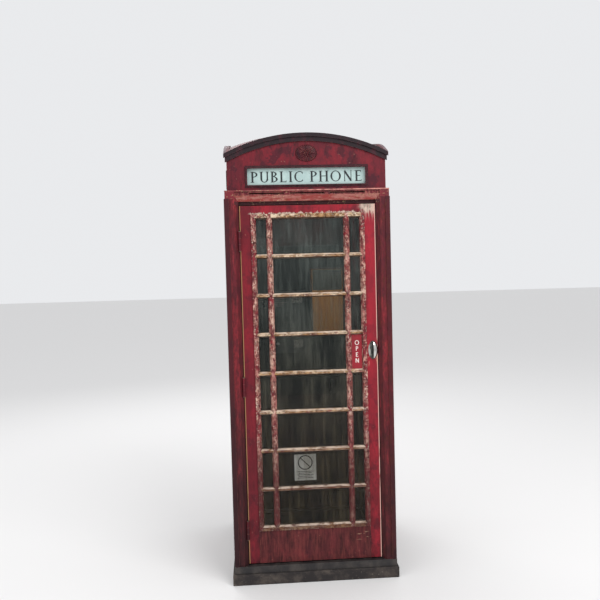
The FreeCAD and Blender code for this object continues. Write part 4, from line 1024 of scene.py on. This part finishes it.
def instruction_card():
    """A black plate of instructions in a thin metal frame, up on the left of the telephone's cover."""
    low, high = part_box("phone_cover")
    x0, x1, z0, z1 = low.x + 18 * MM, low.x + 132 * MM, high.z - 104 * MM, high.z - 22 * MM
    edge = 4 * MM
    rails = border(x0 - edge, x1 + edge, z0 - edge, z1 + edge, edge)
    lines = []
    for i in range(6):
        z = z1 - 12 * MM - i * 11.5 * MM
        reach = x1 - (14 + 16 * (i * 7 % 3)) * MM
        lines.append(bar(x0 + 22 * MM, z, reach, z, 2.2 * MM))
        lines.append(bar(x0 + 9 * MM, z, x0 + 13 * MM, z, 4.2 * MM))
    parts = printed(x0, x1, z0, z1, low.y, 0.5 * MM, lines)
    parts.append(plate(rails, low.y, 2 * MM, SUNK, mark=2))
    build("instruction_card", parts, (dial_black, letter_white, dull_metal), "booth")


instruction_card()


def board_moulding():
    """A dark wooden strip round the notice board."""
    low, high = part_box("notice_board")
    parts = [plate(border(low.x, high.x, low.z, high.z, 11 * MM), low.y, 5 * MM, SUNK)]
    thing = build("board_moulding", parts, (moulding_finish,), "booth")
    round_edges(thing, 1.5 * MM)


board_moulding()


def board_notice():
    """A faded sheet of printed lines on the upper part of the notice board."""
    low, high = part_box("notice_board")
    x0, x1, z0, z1 = low.x + 14 * MM, high.x - 14 * MM, high.z - 150 * MM, high.z - 14 * MM
    lines = []
    for i in range(9):
        z = z1 - (16 + 12.5 * i) * MM
        lines.append(bar(x0 + 16 * MM, z, x1 - (20 + 22 * (i * 5 % 4)) * MM, z, (6 if i == 0 else 2.4) * MM))
    parts = printed(x0, x1, z0, z1, low.y, 0.6 * MM, lines)
    build("board_notice", parts, (sheet_grey, print_grey), "booth")


board_notice()


def screws(name, places, radius, body, finish):
    """Slotted screw heads at (x, y, z) places that face -Y. Each slot points its own way."""
    turns = random.Random(name)
    parts = []
    for x, y, z in places:
        angle = turns.uniform(0, 180)
        parts.append(plate([disc(x, z, radius)], y, radius * 0.25, SUNK))
        for half in (0, 180):
            segment = disc(x, z, radius * 0.92, angle + half + 11, angle + half + 169)
            parts.append(plate([segment], y - radius * 0.25, radius * 0.22))
    build(name, parts, (finish,), body)


def corners_of(node, inset):
    low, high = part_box(node)
    return [(x, low.y, z) for x in (low.x + inset, high.x - inset) for z in (low.z + inset, high.z - inset)]


screws("coin_plate_screws", corners_of("coin_slot_plate", 6 * MM), 2.2 * MM, "booth", nickel)
screws("cover_screws", corners_of("phone_cover", 12 * MM), 4 * MM, "booth", nickel)
screws("backboard_screws", corners_of("backboard", 16 * MM), 4 * MM, "booth", steel)
handle_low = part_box("handle_plate")[0]
handle_screws = [
    (handle_low.x + 14 * MM, handle_low.y, middle("handle_plate").z + reach * MM) for reach in (-27, 27)
]
screws("handle_screws", handle_screws, 2.6 * MM, "door", nickel)


# ---- handset


# The outline of a cup, as parts of its radius and of its depth, in rings from its dome to its rim.
CUP_REACH = (0.0, 0.45, 0.72, 0.9, 0.98, 1.0, 0.98, 0.93, 0.0)
CUP_DEPTH = (0.0, 0.04, 0.14, 0.32, 0.55, 0.8, 0.97, 1.0, 1.0)


def around(count):
    return [2 * math.pi * i / count for i in range(count)]


def handset():
    """Swelling grip between two domed cups, in place of the plain model of it."""
    low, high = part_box("handset")
    cup, deep = (high.x - low.x) / 2, high.y - low.y
    x = low.x + cup
    foot, head = low.z + cup, high.z - cup
    cup_sides, grip_sides, grip_steps = 40, 24, 28
    bm = bmesh.new()
    for level in (foot, head):
        rings = []
        for reach, back in zip(CUP_REACH, CUP_DEPTH):
            y = low.y + deep * back
            angles = around(cup_sides)[: cup_sides if reach else 1]
            ring = [(x + cup * reach * math.cos(a), y, level + cup * reach * math.sin(a)) for a in angles]
            rings.append([bm.verts.new(v) for v in ring])
        for a, b in zip(rings, rings[1:]):
            for i in range(cup_sides):
                j = (i + 1) % cup_sides
                face = [a[i % len(a)], a[j % len(a)], b[j % len(b)], b[i % len(b)]]
                bm.faces.new(list(dict.fromkeys(face)))
    last = None
    for k in range(grip_steps + 1):
        t = k / grip_steps
        swell = math.sin(math.pi * t)
        wide, thick = (10.5 + 2.5 * swell) * MM, (9 + 1.2 * swell) * MM
        y = low.y + 11.5 * MM + 1.5 * MM * (1 - swell)
        z = foot + (head - foot) * t
        ring = [bm.verts.new((x + wide * math.cos(a), y + thick * math.sin(a), z)) for a in around(grip_sides)]
        if last:
            for i in range(grip_sides):
                j = (i + 1) % grip_sides
                bm.faces.new((last[i], last[j], ring[j], ring[i]))
        else:
            bm.faces.new(ring[::-1])
        last = ring
    bm.faces.new(last)
    bmesh.ops.recalc_face_normals(bm, faces=bm.faces)
    mesh = bpy.data.meshes.new("handset_shell")
    bm.to_mesh(mesh)
    bm.free()
    smooth(mesh)
    thing = piece("handset_shell", mesh, (bakelite,), "receiver")
    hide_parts("handset")


handset()


# ---- studio

# Where the camera stands, its yaw, pitch and roll in degrees, and its lens in millimetres.
CAMERA_PLACE = (-0.2824, -3.9999, 1.7189)
CAMERA_TURN = (3.67, -2.62, -1.47)
CAMERA_LENS = 39.48
SKY = (0.93, 0.94, 0.96, 1.0)
SKY_STRENGTH = 0.88

bpy.context.scene.view_settings.view_transform = "Standard"


def stand(name, data):
    """Puts a lamp, a camera or the floor in the scene."""
    thing = bpy.data.objects.new(name, data)
    bpy.context.scene.collection.objects.link(thing)
    return thing


def floor():
    """A pale floor, well past the edges of the view."""
    size = 40.0
    verts = [(-size, -size, 0), (size, -size, 0), (size, size, 0), (-size, size, 0)]
    mesh = mesh_from("studio_floor", verts, [(0, 1, 2, 3)])
    thing = stand("studio_floor", mesh)
    f = Finish("studio_floor", Specular_IOR_Level=0.1)
    f.colour = shade(232, 231, 230)
    mesh.materials.append(f.finish(0.9))


floor()

world = bpy.data.worlds.new("studio")
bpy.context.scene.world = world
world.use_nodes = True
world.node_tree.nodes["Background"].inputs["Color"].default_value = SKY
world.node_tree.nodes["Background"].inputs["Strength"].default_value = SKY_STRENGTH


def lamp(name, place, target, size, power, colour=(1.0, 1.0, 1.0)):
    """A square lamp at a place, turned to a target."""
    light = bpy.data.lights.new(name, "AREA")
    light.size = size
    light.energy = power
    light.color = colour
    thing = stand(name, light)
    thing.location = place
    thing.rotation_euler = (Vector(target) - Vector(place)).to_track_quat("-Z", "Y").to_euler()


lamp("key", (2.6, -4.0, 5.4), (0, 0, 1.5), 3.5, 190)
lamp("fill", (-3.6, -3.6, 2.6), (0, 0, 1.4), 3.0, 30)
lamp("rim", (-1.5, 4.0, 4.5), (0, 0, 1.8), 3.0, 80)
globe = middle("lamp_globe")
globe_under = (globe.x, globe.y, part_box("lamp_globe")[0].z - 10 * MM)
lamp("globe_light", globe_under, (0.18, 0.38, 1.5), 0.12, 1.5, (1.0, 0.93, 0.82))


def camera():
    """Stands a little left of the middle, four metres off, at eye height."""
    yaw, pitch, roll = (math.radians(angle) for angle in CAMERA_TURN)
    ahead = Vector((math.sin(yaw) * math.cos(pitch), math.cos(yaw) * math.cos(pitch), math.sin(pitch)))
    level = Vector((math.cos(yaw), -math.sin(yaw), 0))
    above = level.cross(ahead)
    right = math.cos(roll) * level + math.sin(roll) * above
    up = -math.sin(roll) * level + math.cos(roll) * above
    lens = bpy.data.cameras.new("camera")
    lens.lens = CAMERA_LENS
    lens.sensor_width = 36.0
    thing = stand("camera", lens)
    turn = Matrix((right, up, -ahead)).transposed().to_4x4()
    thing.matrix_world = Matrix.Translation(CAMERA_PLACE) @ turn
    bpy.context.scene.camera = thing


camera()
